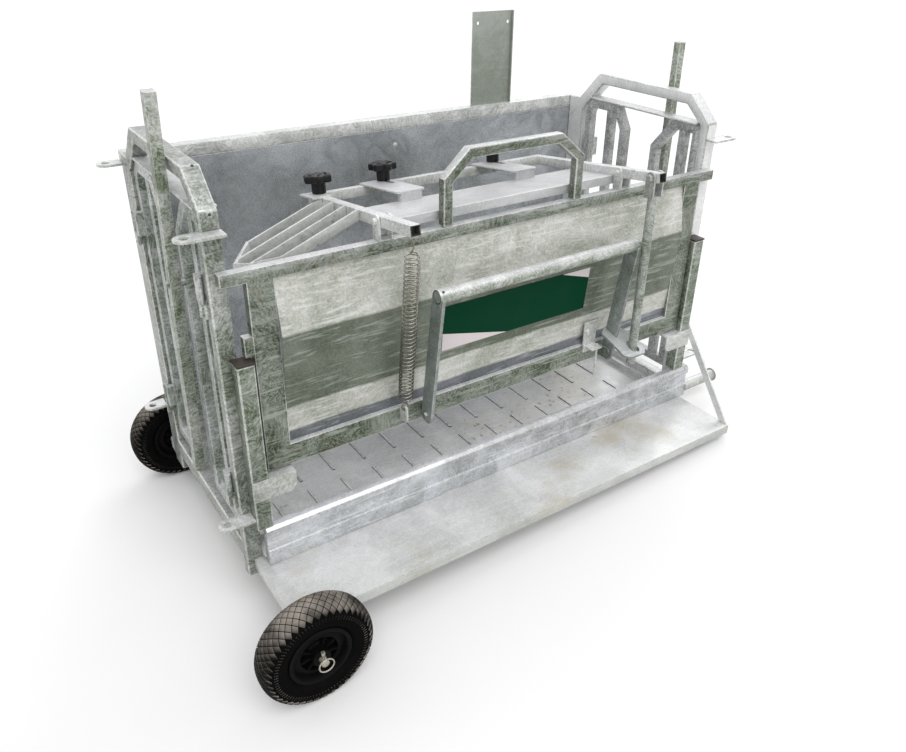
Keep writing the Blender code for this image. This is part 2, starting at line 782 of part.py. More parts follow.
def wheel(name, y, side):
    """A tyre on its rim, and the linch pin that keeps it on; side is -1 in front and 1 behind."""
    centre = (WHEEL_X, y, WHEEL_Z)
    parent = pivot_empty(name + "_wheel_axis", centre)
    half = TYRE_WIDE / 2
    tread = half * 0.62
    shoulder = WHEEL_RADIUS - 0.006
    side_wall = WHEEL_RADIUS - 0.022
    bead_wide = half * 0.72
    tyre_profile = [(TYRE_INNER, -bead_wide), (TYRE_INNER, bead_wide)]
    tyre_profile += [(TYRE_INNER + 0.016, half), (side_wall, half), (shoulder, tread + 0.004)]
    tyre_profile += [(WHEEL_RADIUS, tread * 0.6), (WHEEL_RADIUS, -tread * 0.6)]
    tyre_profile += [(shoulder, -tread - 0.004), (side_wall, -half), (TYRE_INNER + 0.016, -half)]
    place(turned(tyre_profile, 32), name + "_tyre", "rubber", parent=parent)
    bead = TYRE_INNER - GAP
    bore = AXLE_RADIUS + AXLE_RUN
    hub_half = half * 0.92
    rim_profile = [(bore, -hub_half), (bore, hub_half), (HUB_RADIUS, hub_half), (HUB_RADIUS, 0.008)]
    rim_profile += [(bead - 0.008, 0.004), (bead - 0.005, bead_wide), (bead, bead_wide)]
    rim_profile += [(bead, -bead_wide), (bead - 0.005, -bead_wide), (bead - 0.008, -0.004)]
    rim_profile += [(HUB_RADIUS, -0.008), (HUB_RADIUS, -hub_half)]
    place(turned(rim_profile, 32), name + "_rim", "rim", parent=parent)
    pin_y = y + side * linch_offset()
    shank = 0.0025
    pin = cylinder((WHEEL_X, pin_y, WHEEL_Z - 0.017), (WHEEL_X, pin_y, WHEEL_Z + 0.020), shank, 10)
    ring_y = y + side * (half + AXLE_OUT + 0.004)
    rings = [circle(WHEEL_X, WHEEL_Z, 0.019), circle(WHEEL_X, WHEEL_Z, 0.015)]
    ring = extrusion(rings, ring_y - 0.002, ring_y + 0.002, "XZ")
    neck_z = WHEEL_Z + 0.017
    neck = cylinder((WHEEL_X, pin_y - side * 0.001, neck_z), (WHEEL_X, ring_y + side * 0.001, neck_z), shank, 10)
    place(joined(pin, neck, ring), name + "_linch_pin", "zinc")


def linch_offset():
    return TYRE_WIDE / 2 * 0.92 + 0.005


def axle_hole(y0, y1):
    """A cutter for the axle's hole through whatever it passes."""
    return cylinder((WHEEL_X, y0, WHEEL_Z), (WHEEL_X, y1, WHEEL_Z), AXLE_RADIUS + AXLE_RUN, 20)


def axle():
    """One long axle through the feet of the left arch."""
    half = TYRE_WIDE / 2
    start = (WHEEL_X, FRONT_WHEEL_Y - half - AXLE_OUT, WHEEL_Z)
    end = (WHEEL_X, REAR_WHEEL_Y + half + AXLE_OUT, WHEEL_Z)
    holes = []
    for y, side in ((FRONT_WHEEL_Y, -1), (REAR_WHEEL_Y, 1)):
        pin_y = y + side * linch_offset()
        holes.append(cylinder((WHEEL_X, pin_y, WHEEL_Z - 0.02), (WHEEL_X, pin_y, WHEEL_Z + 0.02), 0.0028, 10))
    place(cut(cylinder(start, end, AXLE_RADIUS, 20), *holes), "axle", "zinc")


def gate_faces():
    """The outer and inner X faces of the left gates."""
    outer = -HALF + (ARCH_WIDE - GATE_TUBE) / 2
    return outer, outer + GATE_TUBE


def knuckles(hinge_y, post_outer, toward):
    """Barrel hinges outside the arch, each with a leaf block that reaches back to the gate's outer post."""
    made = []
    hinge_x = -HALF - HINGE_OUT
    face = gate_faces()[0]
    block_y0, block_y1 = sorted((post_outer + toward * 0.004, post_outer + toward * 0.022))
    leaf_y0, leaf_y1 = sorted((hinge_y, post_outer + toward * 0.022))
    for z in HINGE_HEIGHTS:
        top = z + HINGE_LONG
        made.append(cylinder((hinge_x, hinge_y, z), (hinge_x, hinge_y, top), HINGE_RADIUS, 12))
        made.append(box(hinge_x - 0.003, hinge_x + 0.003, leaf_y0, leaf_y1, z, top))
        made.append(box(hinge_x - 0.002, face + 0.002, block_y0, block_y1, z, top))
    return made


def front_gate(lever_y):
    """The left front half gate, with the stud that its lever turns on."""
    x0, x1 = gate_faces()
    outer = FRONT + ARCH_DEEP + GATE_LEG_GAP
    wall = GATE_TUBE
    inner = FRONT_GATE_INNER
    low, top = GATE_LOW, FRONT_GATE_TOP
    frame = [
        (outer, low),
        (inner, low),
        (inner, FRONT_GATE_CHAMFER_Z),
        (FRONT_GATE_CHAMFER_Y, top),
        (outer, top),
    ]
    bore = [
        (outer + wall, low + wall),
        (inner - wall, low + wall),
        (inner - wall, FRONT_GATE_CHAMFER_Z - 0.010),
        (FRONT_GATE_CHAMFER_Y - 0.0125, top - wall),
        (outer + wall, top - wall),
    ]
    made = extrusion([frame, bore], x0, x1, "YZ")
    bar = FRONT_GATE_BAR_Y
    middle = box(x0 + 0.001, x1 - 0.001, bar - wall / 2, bar + wall / 2, low + wall / 2, top - wall / 2)
    stud_out = -LEVER_TURN_X - SMALL_TUBE / 2 - RUN / 2
    pivot = (lever_y, LEVER_PIVOT_Z)
    stud = cylinder((x0 + 0.010, *pivot), (stud_out - BOLT_HEAD_HIGH, *pivot), BOLT_RADIUS)
    collar = cylinder((x0 + 0.005, *pivot), (-HALF - LEVER_SPACER + RUN / 2, *pivot), BOLT_HEAD_RADIUS)
    head = cylinder((stud_out, *pivot), (stud_out - BOLT_HEAD_HIGH, *pivot), BOLT_HEAD_RADIUS, 6)
    made = joined(made, middle, stud, collar, head, *knuckles(FRONT_HINGE_Y, outer, 1))
    wall_in = PLUG_WALL
    mouth = box(x0 + wall_in, x1 - wall_in, outer - 0.01, outer + PLUG_LONG + GAP, top - wall + wall_in, top - wall_in)
    return cut(made, mouth)


def gate_plug():
    """The black plug in the open end of the front gate's top tube."""
    x0, x1 = gate_faces()
    outer = FRONT + ARCH_DEEP + GATE_LEG_GAP
    inset = PLUG_WALL + GAP
    top = FRONT_GATE_TOP
    return box(x0 + inset, x1 - inset, outer, outer + PLUG_LONG, top - GATE_TUBE + inset, top - inset)


def back_gate():
    """The left back half gate, whose upper outer corner is cut to clear the arch."""
    x0, x1 = gate_faces()
    outer = BACK_GATE_OUTER
    wall = GATE_TUBE
    inner = BACK_GATE_INNER
    low, top = GATE_LOW, BACK_GATE_TOP
    frame = [
        (outer, low),
        (outer, BACK_GATE_CORNER_Z),
        (BACK_GATE_CORNER_Y, top),
        (BACK_GATE_CHAMFER_Y, top),
        (inner, BACK_GATE_CHAMFER_Z),
        (inner, low),
    ]
    bore = [
        (outer - wall, low + wall),
        (outer - wall, BACK_GATE_CORNER_Z - 0.008),
        (BACK_GATE_CORNER_Y - 0.010, top - wall),
        (BACK_GATE_CHAMFER_Y + 0.013, top - wall),
        (inner + wall, BACK_GATE_CHAMFER_Z - 0.007),
        (inner + wall, low + wall),
    ]
    made = extrusion([frame, bore], x0, x1, "YZ")
    bar = BACK_GATE_BAR_Y
    middle = box(x0 + 0.001, x1 - 0.001, bar - wall / 2, bar + wall / 2, low + wall / 2, top - wall / 2)
    return joined(made, middle, *knuckles(BACK_HINGE_Y, outer, -1))


def gate_lever(lever_y, top, lean):
    """The upright lever outside the left front gate; it leans forward about its bolt."""
    outer_x = -LEVER_TURN_X - SMALL_TUBE / 2
    inner_x = -LEVER_TURN_X + SMALL_TUBE / 2
    half = SMALL_TUBE / 2
    bar = box(outer_x, inner_x, lever_y - half, lever_y + half, LEVER_LOW, top)
    start = (outer_x - 0.01, lever_y, LEVER_PIVOT_Z)
    end = (inner_x + 0.01, lever_y, LEVER_PIVOT_Z)
    made = cut(bar, cylinder(start, end, BOLT_RADIUS + RUN / 2))
    pivot = Vector(start)
    turn = Matrix.Translation(pivot) @ Matrix.Rotation(lean, 4, "X") @ Matrix.Translation(-pivot)
    made.data.transform(turn)
    return made


def end_gates(side, lever_y, lever_top, lean):
    """The half gates, plug and lever of one end; side is -1 on the left and 1 on the right."""
    hinge_x = HALF + HINGE_OUT
    pieces = (
        ("front_gate", front_gate(lever_y), "", (hinge_x, FRONT_HINGE_Y, 0)),
        ("back_gate", back_gate(), "", (hinge_x, BACK_HINGE_Y, 0)),
        ("gate_plug", gate_plug(), "plastic", (hinge_x, FRONT_HINGE_Y, 0)),
        ("gate_lever", gate_lever(lever_y, lever_top, lean), "", (LEVER_TURN_X, lever_y, LEVER_PIVOT_Z)),
    )
    end = "left_" if side < 0 else "right_"
    for name, left, finish, (x, y, z) in pieces:
        made = left
        if side > 0:
            made = mirrored(left)
            bpy.data.objects.remove(left)
        place(made, end + name, finish, origin=(side * x, y, z))


def gates():
    end_gates(-1, LEFT_LEVER_Y, LEFT_LEVER_TOP, LEFT_LEVER_LEAN)
    end_gates(1, LEVER_Y, LEVER_TOP, 0.0)
    middle = -HALF + ARCH_WIDE / 2 + GUIDE_IN
    half = GUIDE_WIDE / 2
    left = box(middle - half, middle + half, GUIDE_FRONT, GUIDE_BACK, GUIDE_Z, GUIDE_Z + PLATE)
    right = mirrored(left)
    place(left, "left_gate_guide")
    place(right, "right_gate_guide")


def cradle():
    """The tipping side: frame, sheet, sign and hoop handle."""
    axis = (0, CRADLE_AXIS_Y, CRADLE_AXIS_Z)
    rail_low = CRADLE_TOP - CRADLE_RAIL_HIGH
    foot_top = CRADLE_LOW + CRADLE_FOOT_HIGH
    inner = STILE_OUTER - STILE_WIDE
    overlap = CRADLE_RAIL_HIGH / 2
    frame = box(-STILE_OUTER, STILE_OUTER, CRADLE_FRONT, CRADLE_BACK, CRADLE_LOW, foot_top)
    top_rail = box(-CRADLE_RAIL_HALF, CRADLE_RAIL_HALF, CRADLE_FRONT, CRADLE_BACK, rail_low, CRADLE_TOP)
    stiles = [
        box(x0, x0 + STILE_WIDE, CRADLE_FRONT, CRADLE_BACK, foot_top - overlap, rail_low + overlap)
        for x0 in (-STILE_OUTER, inner)
    ]
    frame = joined(frame, top_rail, *stiles)
    pins = [
        cylinder(
            (side * (STILE_OUTER - 0.01), CRADLE_AXIS_Y, CRADLE_AXIS_Z),
            (side * (POST_INNER + 0.010), CRADLE_AXIS_Y, CRADLE_AXIS_Z),
            PIN_RADIUS,
        )
        for side in (-1, 1)
    ]
    ears = [lever_ear(x) for x in (LEVER_LEFT_X, LEVER_RIGHT_X)]
    clip_x = -STILE_OUTER - CLIP_REACH
    clip = box(clip_x, -STILE_OUTER + 0.002, CRADLE_FRONT + 0.002, CRADLE_BACK - 0.002, CLIP_LOW, CLIP_HIGH)
    place(joined(frame, *pins, *ears, clip), "cradle_frame", origin=axis)
    cradle_sheet(axis, inner, foot_top, rail_low)
    hoop(axis)


def lever_ear(arm_x):
    """The ear and its pin that one arm of the squeeze lever turns on, inside the arm."""
    side = 1 if arm_x < 0 else -1
    near = arm_x + side * (LEVER_ARM_THICK / 2 + RUN / 2)
    x0, x1 = sorted((near, near + side * PLATE))
    ear = extrusion(
        [
            arc(LEVER_AXIS_Y, LEVER_AXIS_Z, LEVER_EAR_REACH / 2, 90, 270, 8)
            + [(CRADLE_FRONT + 0.002, LEVER_AXIS_Z - LEVER_EAR_REACH / 2), (CRADLE_FRONT + 0.002, LEVER_AXIS_Z + LEVER_EAR_REACH / 2)]
        ],
        x0,
        x1,
        "YZ",
    )
    far = arm_x - side * (LEVER_ARM_THICK / 2 + RUN / 2 + BOLT_HEAD_HIGH)
    pin = cylinder((near + side * 0.002, LEVER_AXIS_Y, LEVER_AXIS_Z), (far, LEVER_AXIS_Y, LEVER_AXIS_Z), BOLT_RADIUS)
    head_far = far + side * BOLT_HEAD_HIGH
    head = cylinder((far, LEVER_AXIS_Y, LEVER_AXIS_Z), (head_far, LEVER_AXIS_Y, LEVER_AXIS_Z), BOLT_HEAD_RADIUS, 6)
    return joined(ear, pin, head)


def cradle_sheet(axis, inner, foot_top, rail_low):
    """The side sheet with its one knee, and the sign plate on its lower facet."""
    top = (CRADLE_FRONT + SHEET_TOP_IN, rail_low - GAP)
    knee = (CRADLE_FRONT - KNEE_OUT, KNEE_Z)
    foot = (CRADLE_FRONT + SHEET_FOOT_IN, foot_top + GAP)
    thick = SIGN_THICK
    outline = [top, knee, foot, (foot[0] + thick, foot[1]), (knee[0] + thick, knee[1]), (top[0] + thick, top[1])]
    reach = inner - GAP
    place(extrusion([outline], -reach, reach, "YZ"), "cradle_sheet", "sheet", origin=axis)
    slope = (foot[0] - knee[0]) / (foot[1] - knee[1])
    off = 1.5 * GAP

    def facet(z, out):
        return (knee[0] + slope * (z - knee[1]) - out, z)

    plate = [
        facet(SIGN_LOW, off + SIGN_THICK),
        facet(SIGN_HIGH, off + SIGN_THICK),
        facet(SIGN_HIGH, off),
        facet(SIGN_LOW, off),
    ]
    place(extrusion([plate], SIGN_LEFT, SIGN_RIGHT, "YZ"), "sign_plate", "sign", origin=axis)


def hoop(axis):
    """The hoop handle that the cradle is pulled over by."""
    tube = SMALL_TUBE
    foot = CRADLE_TOP + GAP
    step = tube * 0.42
    left_corner = HOOP_LEFT + HOOP_CHAMFER_LEFT
    right_corner = HOOP_RIGHT - HOOP_CHAMFER_RIGHT
    outline = [
        (HOOP_LEFT, foot),
        (HOOP_LEFT, HOOP_SHOULDER),
        (left_corner, HOOP_TOP),
        (right_corner, HOOP_TOP),
        (HOOP_RIGHT, HOOP_SHOULDER),
        (HOOP_RIGHT, foot),
        (HOOP_RIGHT - tube, foot),
        (HOOP_RIGHT - tube, HOOP_SHOULDER - step),
        (right_corner - step, HOOP_TOP - tube),
        (left_corner + step, HOOP_TOP - tube),
        (HOOP_LEFT + tube, HOOP_SHOULDER - step),
        (HOOP_LEFT + tube, foot),
    ]
    place(extrusion([outline], CRADLE_FRONT, CRADLE_FRONT + tube, "XZ"), "hoop_handle", origin=axis)


def clamp_brackets():
    """The U brackets on the cradle's rail, each with the bolt that a clamp arm turns on."""
    inside = ARM_HALF + RUN / 2
    outside = inside + EAR_THICK
    reach = outside + BOLT_HEAD_HIGH
    foot = CRADLE_TOP + GAP
    pivot = (CRADLE_AXIS_Y, CLAMP_PIVOT_Z)
    half = EAR_RADIUS
    outline = arc(*pivot, half, 0, 180, 8) + [(CRADLE_AXIS_Y - half, foot), (CRADLE_AXIS_Y + half, foot)]
    y0, y1 = CRADLE_AXIS_Y - 2 * half, CRADLE_AXIS_Y + 2 * half
    for name, arm_x in (("left", LEFT_ARM_X), ("right", RIGHT_ARM_X)):
        block = extrusion([outline], arm_x - outside, arm_x + outside, "YZ")
        channel = box(arm_x - inside, arm_x + inside, y0, y1, foot + BRACKET_BASE, CLAMP_PIVOT_Z + 2 * half)
        channelled = cut(block, channel)
        start, end = arm_x - reach, arm_x + reach
        bolt = cylinder((start, *pivot), (end, *pivot), BOLT_RADIUS)
        over = RUN
        near = cylinder((start - over, *pivot), (arm_x - outside + over, *pivot), BOLT_HEAD_RADIUS, 6)
        far = cylinder((arm_x + outside - over, *pivot), (end + over, *pivot), BOLT_HEAD_RADIUS, 6)
        place(joined(channelled, bolt, near, far), name + "_clamp_bracket")


def clamp(parent):
    """The squeeze clamp, made in the frame of its pivot."""
    left, right = LEFT_ARM_X, RIGHT_ARM_X
    bore = ARM_HALF - ARM_WALL
    pieces = [box(x - ARM_HALF, x + ARM_HALF, ARM_FRONT, ARM_BACK, -ARM_HALF, ARM_HALF) for x in (left, right)]
    pieces.append(box(left, right, ARM_BACK - SMALL_TUBE, ARM_BACK, -ARM_HALF, ARM_HALF))
    cutters = []
    for x in (left, right):
        cutters.append(cylinder((x - 0.03, 0, 0), (x + 0.03, 0, 0), BOLT_RADIUS + RUN / 2))
        cutters.append(box(x - bore, x + bore, ARM_FRONT - 0.01, ARM_FRONT + BORE_LONG, -bore, bore))
    pin_reach = 0.03
    cutters.append(
        cylinder((right - pin_reach, ROD_PIN_ARM, 0), (right + pin_reach, ROD_PIN_ARM, 0), BOLT_RADIUS + RUN / 2)
    )
    hole = STUD_RADIUS + RUN / 2
    for x, y in ((KNOB_XS[0], KNOB_Y), (KNOB_XS[1], KNOB_Y), (left, END_KNOB_Y)):
        cutters.append(cylinder((x, y, ARM_HALF + 0.01), (x, y, -ARM_HALF - 0.01), hole))
    place(cut(joined(*pieces), *cutters), "clamp_frame", parent=parent)
    clamp_pad(parent)
    seat_z = ARM_HALF + GAP + PLATE + GAP
    seats = (
        ("left_width_knob", KNOB_XS[0], KNOB_Y),
        ("right_width_knob", KNOB_XS[1], KNOB_Y),
        ("head_guard_knob", left, END_KNOB_Y),
    )
    for name, x, y in seats:
        place(star_knob(), name, "plastic", parent=parent).location = (x, y, seat_z)
    head_guard(parent)


def clamp_pad(parent):
    """The sliding pad: a front tube, a plate and two slotted plates that lie over the back bar."""
    x0 = LEFT_ARM_X + ARM_HALF + GAP
    x1 = RIGHT_ARM_X - ARM_HALF - GAP
    tube_back = PAD_FRONT + SMALL_TUBE
    tube = box(x0, x1, PAD_FRONT, tube_back, PAD_LOW, PAD_PLATE_TOP)
    plate = box(x0, x1, tube_back - 0.002, PAD_PLATE_BACK, PAD_PLATE_TOP - PLATE, PAD_PLATE_TOP - RUN / 2)
    pieces = []
    low = ARM_HALF + GAP
    for knob_x in KNOB_XS:
        middle = knob_x - SLOTTED_LEFT_OF_KNOB
        half = SLOTTED_WIDE / 2
        corner = 0.012
        outline = arc(middle - half + corner, SLOTTED_FRONT + corner, corner, 180, 270, 3)
        outline += arc(middle + half - corner, SLOTTED_FRONT + corner, corner, 270, 360, 3)
        outline += [(middle + half, SLOTTED_BACK), (middle - half, SLOTTED_BACK)]
        wide = SLOT_WIDE / 2
        slot = arc(knob_x, SLOT_BACK - wide, wide, 0, 180, 6) + arc(knob_x, SLOT_FRONT + wide, wide, 180, 360, 6)
        pieces.append(extrusion([outline, slot], low, low + PLATE, "XY"))
        spacer_half = half - corner
        pieces.append(
            box(
                middle - spacer_half,
                middle + spacer_half,
                SPACER_FRONT + RUN / 2,
                PAD_PLATE_BACK - RUN,
                PAD_PLATE_TOP - PLATE / 2,
                low + PLATE / 2,
            )
        )
    place(joined(tube, plate, *pieces), "clamp_pad", "sheet", parent=parent)


def star_knob():
    """A star knob that stands on z = 0, its stud below."""
    steps = KNOB_LOBES * 8
    angles = [2 * math.pi * step / steps for step in range(steps)]
    reach = [KNOB_RADIUS + KNOB_LOBE * math.cos(KNOB_LOBES * angle) for angle in angles]
    outline = [(r * math.cos(a), r * math.sin(a)) for r, a in zip(reach, angles)]
    head = extrusion([outline], KNOB_BOSS_HIGH, KNOB_BOSS_HIGH + KNOB_HEAD_HIGH, "XY")
    boss = cylinder((0, 0, 0), (0, 0, KNOB_BOSS_HIGH + 0.002), KNOB_BOSS_RADIUS, 20)
    stud = cylinder((0, 0, -STUD_LONG), (0, 0, 0.002), STUD_RADIUS, 12)
    return joined(head, boss, stud)


def guard_rail(start, end, thick):
    """An upright flat that slopes down away from the arm; each end is (y, distance out from the arm)."""
    root = LEFT_ARM_X - ARM_HALF - GAP
    slope = math.tan(GUARD_SLOPE)
    run = Vector((start[1] - end[1], end[0] - start[0], 0)).normalized()
    side = Vector((-run.y, run.x, 0)) * thick / 2
    low = Vector((0, 0, -GUARD_BAR_HIGH))
    ends = [Vector((root - out, y, GUARD_TOP - out * slope)) for y, out in (start, end)]

    def make(bm):
        corners = (ends[0] + side, ends[1] + side, ends[1] - side, ends[0] - side)
        upper = [bm.verts.new(corner) for corner in corners]
        lower = [bm.verts.new(corner + low) for corner in corners]
        bm.faces.new(upper)
        bm.faces.new(lower[::-1])
        for index in range(4):
            after = (index + 1) % 4
            bm.faces.new((upper[index], lower[index], lower[after], upper[after]))

    return solid(make)


def head_guard(parent):
    """The sloping grid of flats outside the left arm, with the small plate its knob holds down."""
    bars = [guard_rail((y, 0), (y, out), GUARD_BAR_THICK) for y, out in GUARD_BARS]
    edge = [GUARD_BARS[0], GUARD_NOSE, GUARD_BARS[2], GUARD_BARS[3]]
    over = 0.004
    for (y0, out0), (y1, out1) in zip(edge, edge[1:]):
        run = Vector((y1 - y0, out1 - out0)).normalized() * over
        bars.append(guard_rail((y0 - run.x, out0 - run.y), (y1 + run.x, out1 + run.y), GUARD_BAR_THICK))
    low = ARM_HALF + GAP
    right = LEFT_ARM_X + ARM_HALF
    tab = box(LEFT_ARM_X - END_TAB_LEFT, right, END_TAB_FRONT, END_TAB_BACK, low, low + PLATE)
    hole_start = (LEFT_ARM_X, END_KNOB_Y, low - 0.01)
    hole_end = (LEFT_ARM_X, END_KNOB_Y, low + 0.02)
    tab = cut(tab, cylinder(hole_start, hole_end, STUD_RADIUS + RUN / 2))
    place(joined(tab, *bars), "head_guard", parent=parent)


def spring_ends():
    """The spring's fixed ends, under the clamp's left arm and over the eye on the cradle."""
    turn = Matrix.Rotation(CLAMP_TILT, 4, "X")
    under_arm = turn @ Vector((LEFT_ARM_X, SPRING_TOP_ARM, -ARM_HALF))
    top = Vector((0, CRADLE_AXIS_Y, CLAMP_PIVOT_Z)) + under_arm
    foot = Vector((SPRING_FOOT_X, CRADLE_FRONT - SPRING_FOOT_OUT, EYE_TOP))
    return top, foot


def spring():
    """The pull spring: one unbroken wire, straight at both ends and coiled between."""
    top, foot = spring_ends()
    run = foot - top
    along = run.normalized()
    across = along.cross(Vector((0, 1, 0))).normalized()
    third = along.cross(across)
    clear = SPRING_CLEAR
    start = clear + SPRING_TOP_TAIL
    end = run.length - clear - SPRING_FOOT_TAIL
    steps = SPRING_CURLS * SPRING_POINTS
    points = [top + along * clear, top + along * (clear + SPRING_TOP_TAIL * 0.5)]
    for step in range(steps + 1):
        share = step / steps
        near_end = min(step, steps - step) / SPRING_POINTS
        radius = SPRING_RADIUS * min(1.0, near_end)
        angle = 2 * math.pi * step / SPRING_POINTS
        centre = top + along * (start + (end - start) * share)
        points.append(centre + across * radius * math.cos(angle) + third * radius * math.sin(angle))
    points.append(top + along * (run.length - clear - SPRING_FOOT_TAIL * 0.5))
    points.append(top + along * (run.length - clear))
    least = least_gap(points)
    print("spring: least gap to itself", round(least * 1000, 2), "mm")
    curve = bpy.data.curves.new("spring", "CURVE")
    curve.dimensions = "3D"
    curve.bevel_depth = SPRING_WIRE
    curve.bevel_resolution = 1
    curve.use_fill_caps = True
    spline = curve.splines.new("POLY")
    spline.points.add(len(points) - 1)
    for place_point, point in zip(spline.points, points):
        place_point.co = (*point, 1)
    wire = bpy.data.objects.new("spring", curve)
    bpy.context.scene.collection.objects.link(wire)
    place(as_mesh(wire), "clamp_spring", "spring")


def least_gap(points):
    """The least distance between the wire's surfaces at points half a curl or more apart."""
    least = math.inf
    skip = SPRING_POINTS // 2 + 1
    for index, point in enumerate(points):
        for other in points[index + skip : index + 2 * SPRING_POINTS]:
            least = min(least, (point - other).length - 2 * SPRING_WIRE)
    return least


def spring_eye():
    """The eye on the cradle's foot rail that the spring hooks on."""
    x = SPRING_FOOT_X
    y = CRADLE_FRONT - SPRING_FOOT_OUT
    radius = 0.012
    centre_z = EYE_TOP - radius
    outline = arc(y, centre_z, radius, 0, 180, 8) + [(y - radius, EYE_LOW + 0.01), (CRADLE_FRONT - GAP, EYE_LOW), (CRADLE_FRONT - GAP, EYE_LOW + 0.035)]
    hole = circle(y, centre_z - 0.001, EYE_HOLE_RADIUS, 12)
    half = EYE_THICK / 2
    place(extrusion([outline, hole], x - half, x + half, "YZ"), "spring_eye", "zinc")


def squeeze_lever():
    """The U-shaped lever with the slotted tongue that works the rod."""
    axis = (0, LEVER_AXIS_Y, LEVER_AXIS_Z)
    parent = pivot_empty("squeeze_lever_axis", axis)
    half_arm = LEVER_ARM_THICK / 2
    half_wide = LEVER_ARM_WIDE / 2
    pieces = []
    for x in (LEVER_LEFT_X, LEVER_RIGHT_X):
        outline = arc(0, 0, half_wide, 180, 360, 8) + [(half_wide, LEVER_REACH), (-half_wide, LEVER_REACH)]
        hole = circle(0, 0, BOLT_RADIUS + RUN / 2)
        pieces.append(extrusion([outline, hole], x - half_arm, x + half_arm, "YZ"))
    start = (LEVER_LEFT_X - half_arm - 0.002, 0, LEVER_REACH)
    end = (LEVER_RIGHT_X + half_arm, 0, LEVER_REACH)
    lever = joined(cylinder(start, end, LEVER_TUBE_RADIUS, 20), *pieces)
    lever.data.transform(Matrix.Rotation(LEVER_TILT, 4, "X"))
    place(joined(lever, tongue()), "squeeze_lever", parent=parent)


def tongue():
    """The slotted plate round the rod, made flat and then tipped, in the lever's own frame."""
    rod_y = rod_pin()[1]
    back = Vector((0, *TONGUE_BACK))
    front = Vector((0, *TONGUE_FRONT))
    run = front - back
    share = (rod_y - back.y) / run.y
    slot_at = run.length * share
    left, right = TONGUE_LEFT, TONGUE_RIGHT
    corner = 0.016
    outline = [
        (LEVER_RIGHT_X, 0),
        (left, -0.018),
        (left, corner - run.length),
        (left + corner, -run.length),
        (right - corner, -run.length),
        (right, corner - run.length),
        (right, -0.045),
        (LEVER_RIGHT_X + 0.022, 0),
    ]
    wide = TONGUE_SLOT_WIDE / 2
    half_run = TONGUE_SLOT_LONG / 2 - wide
    slot = arc(RIGHT_ARM_X, half_run - slot_at, wide, 0, 180, 8)
    slot += arc(RIGHT_ARM_X, -half_run - slot_at, wide, 180, 360, 8)
    made = extrusion([outline, slot], -TONGUE_THICK / 2, TONGUE_THICK / 2, "XY")
    tip = Matrix.Rotation(math.atan2(-run.z, -run.y), 4, "X")
    axis = Vector((0, LEVER_AXIS_Y, LEVER_AXIS_Z))
    made.data.transform(Matrix.Translation(back - axis) @ tip)
    return made


def rod_pin():
    """The place of the pin between the rod's clevis and the clamp's right arm."""
    turn = Matrix.Rotation(CLAMP_TILT, 4, "X")
    return Vector((RIGHT_ARM_X, CRADLE_AXIS_Y, CLAMP_PIVOT_Z)) + turn @ Vector((0, ROD_PIN_ARM, 0))


def push_rod():
    pin = rod_pin()
    parent = pivot_empty("push_rod_axis", pin)
    inside = ARM_HALF + RUN / 2
    outside = inside + EAR_THICK
    half = CLEVIS_HALF_DEEP
    base_low = -CLEVIS_DROP - CLEVIS_BASE
    base = box(-outside, outside, -half, half, base_low, -CLEVIS_DROP)
    pieces = []
    for side in (-1, 1):
        x0, x1 = sorted((side * inside, side * outside))
        outline = arc(0, 0, half, 0, 180, 8) + [(-half, base_low), (half, base_low)]
        pieces.append(extrusion([outline], x0, x1, "YZ"))
    reach = outside + BOLT_HEAD_HIGH
    pieces.append(cylinder((-reach, 0, 0), (reach, 0, 0), BOLT_RADIUS))
    for side in (-1, 1):
        pieces.append(cylinder((side * outside, 0, 0), (side * reach, 0, 0), BOLT_HEAD_RADIUS, 6))
    pieces.append(cylinder((0, 0, ROD_FOOT - pin.z), (0, 0, base_low + 0.002), ROD_RADIUS, 20))
    place(joined(base, *pieces), "push_rod", parent=parent)


def latch_bracket():
    """The small bracket and hanging pin beside the tongue, on the cradle's foot rail."""
    x0 = LATCH_X - LATCH_WIDE / 2
    x1 = LATCH_X + LATCH_WIDE / 2
    back = CRADLE_FRONT - GAP
    face = box(x0, x1, back - PLATE, back, LATCH_LOW, LATCH_TOP)
    shelf = box(x0 + 0.006, x1, back - 0.036, back - PLATE / 2, LATCH_LOW + 0.017, LATCH_LOW + 0.022)
    pin_y = back - 0.026
    pin_x = x1 - 0.012
    pin = cylinder((pin_x, pin_y, LATCH_PIN_LOW), (pin_x, pin_y, LATCH_LOW + 0.030), LATCH_PIN_RADIUS, 10)
    head_z = LATCH_TOP - 0.030
    start = (x0 + 0.012, back - PLATE / 2, head_z)
    end = (x0 + 0.012, back - PLATE - BOLT_HEAD_HIGH, head_z)
    place(joined(face, shelf, pin, cylinder(start, end, BOLT_HEAD_RADIUS, 6)), "latch_bracket")


clear_scene()
PARTS = new_collection("sheep_turnover_crate")
end_arches()
back_wall()
ribbed_floor()
front_sill()
lift_handle()
bearer()
corner_posts()
stop_brackets()
lugs()
platform()
platform_brace()
wheel("front", FRONT_WHEEL_Y, -1)
wheel("rear", REAR_WHEEL_Y, 1)
axle()
gates()
cradle()
clamp_brackets()
clamp(pivot_empty("clamp_axis", (0, CRADLE_AXIS_Y, CLAMP_PIVOT_Z), CLAMP_TILT))
spring()
spring_eye()
squeeze_lever()
push_rod()
latch_bracket()
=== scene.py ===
"""Sheep turnover crate: its finishes and finer shapes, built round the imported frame.

Metres, +Z up, in the frame of the CAD model. The operator stands on the -Y side.
"""

import json
import math

import bmesh
import bpy
from mathutils import Matrix, Vector

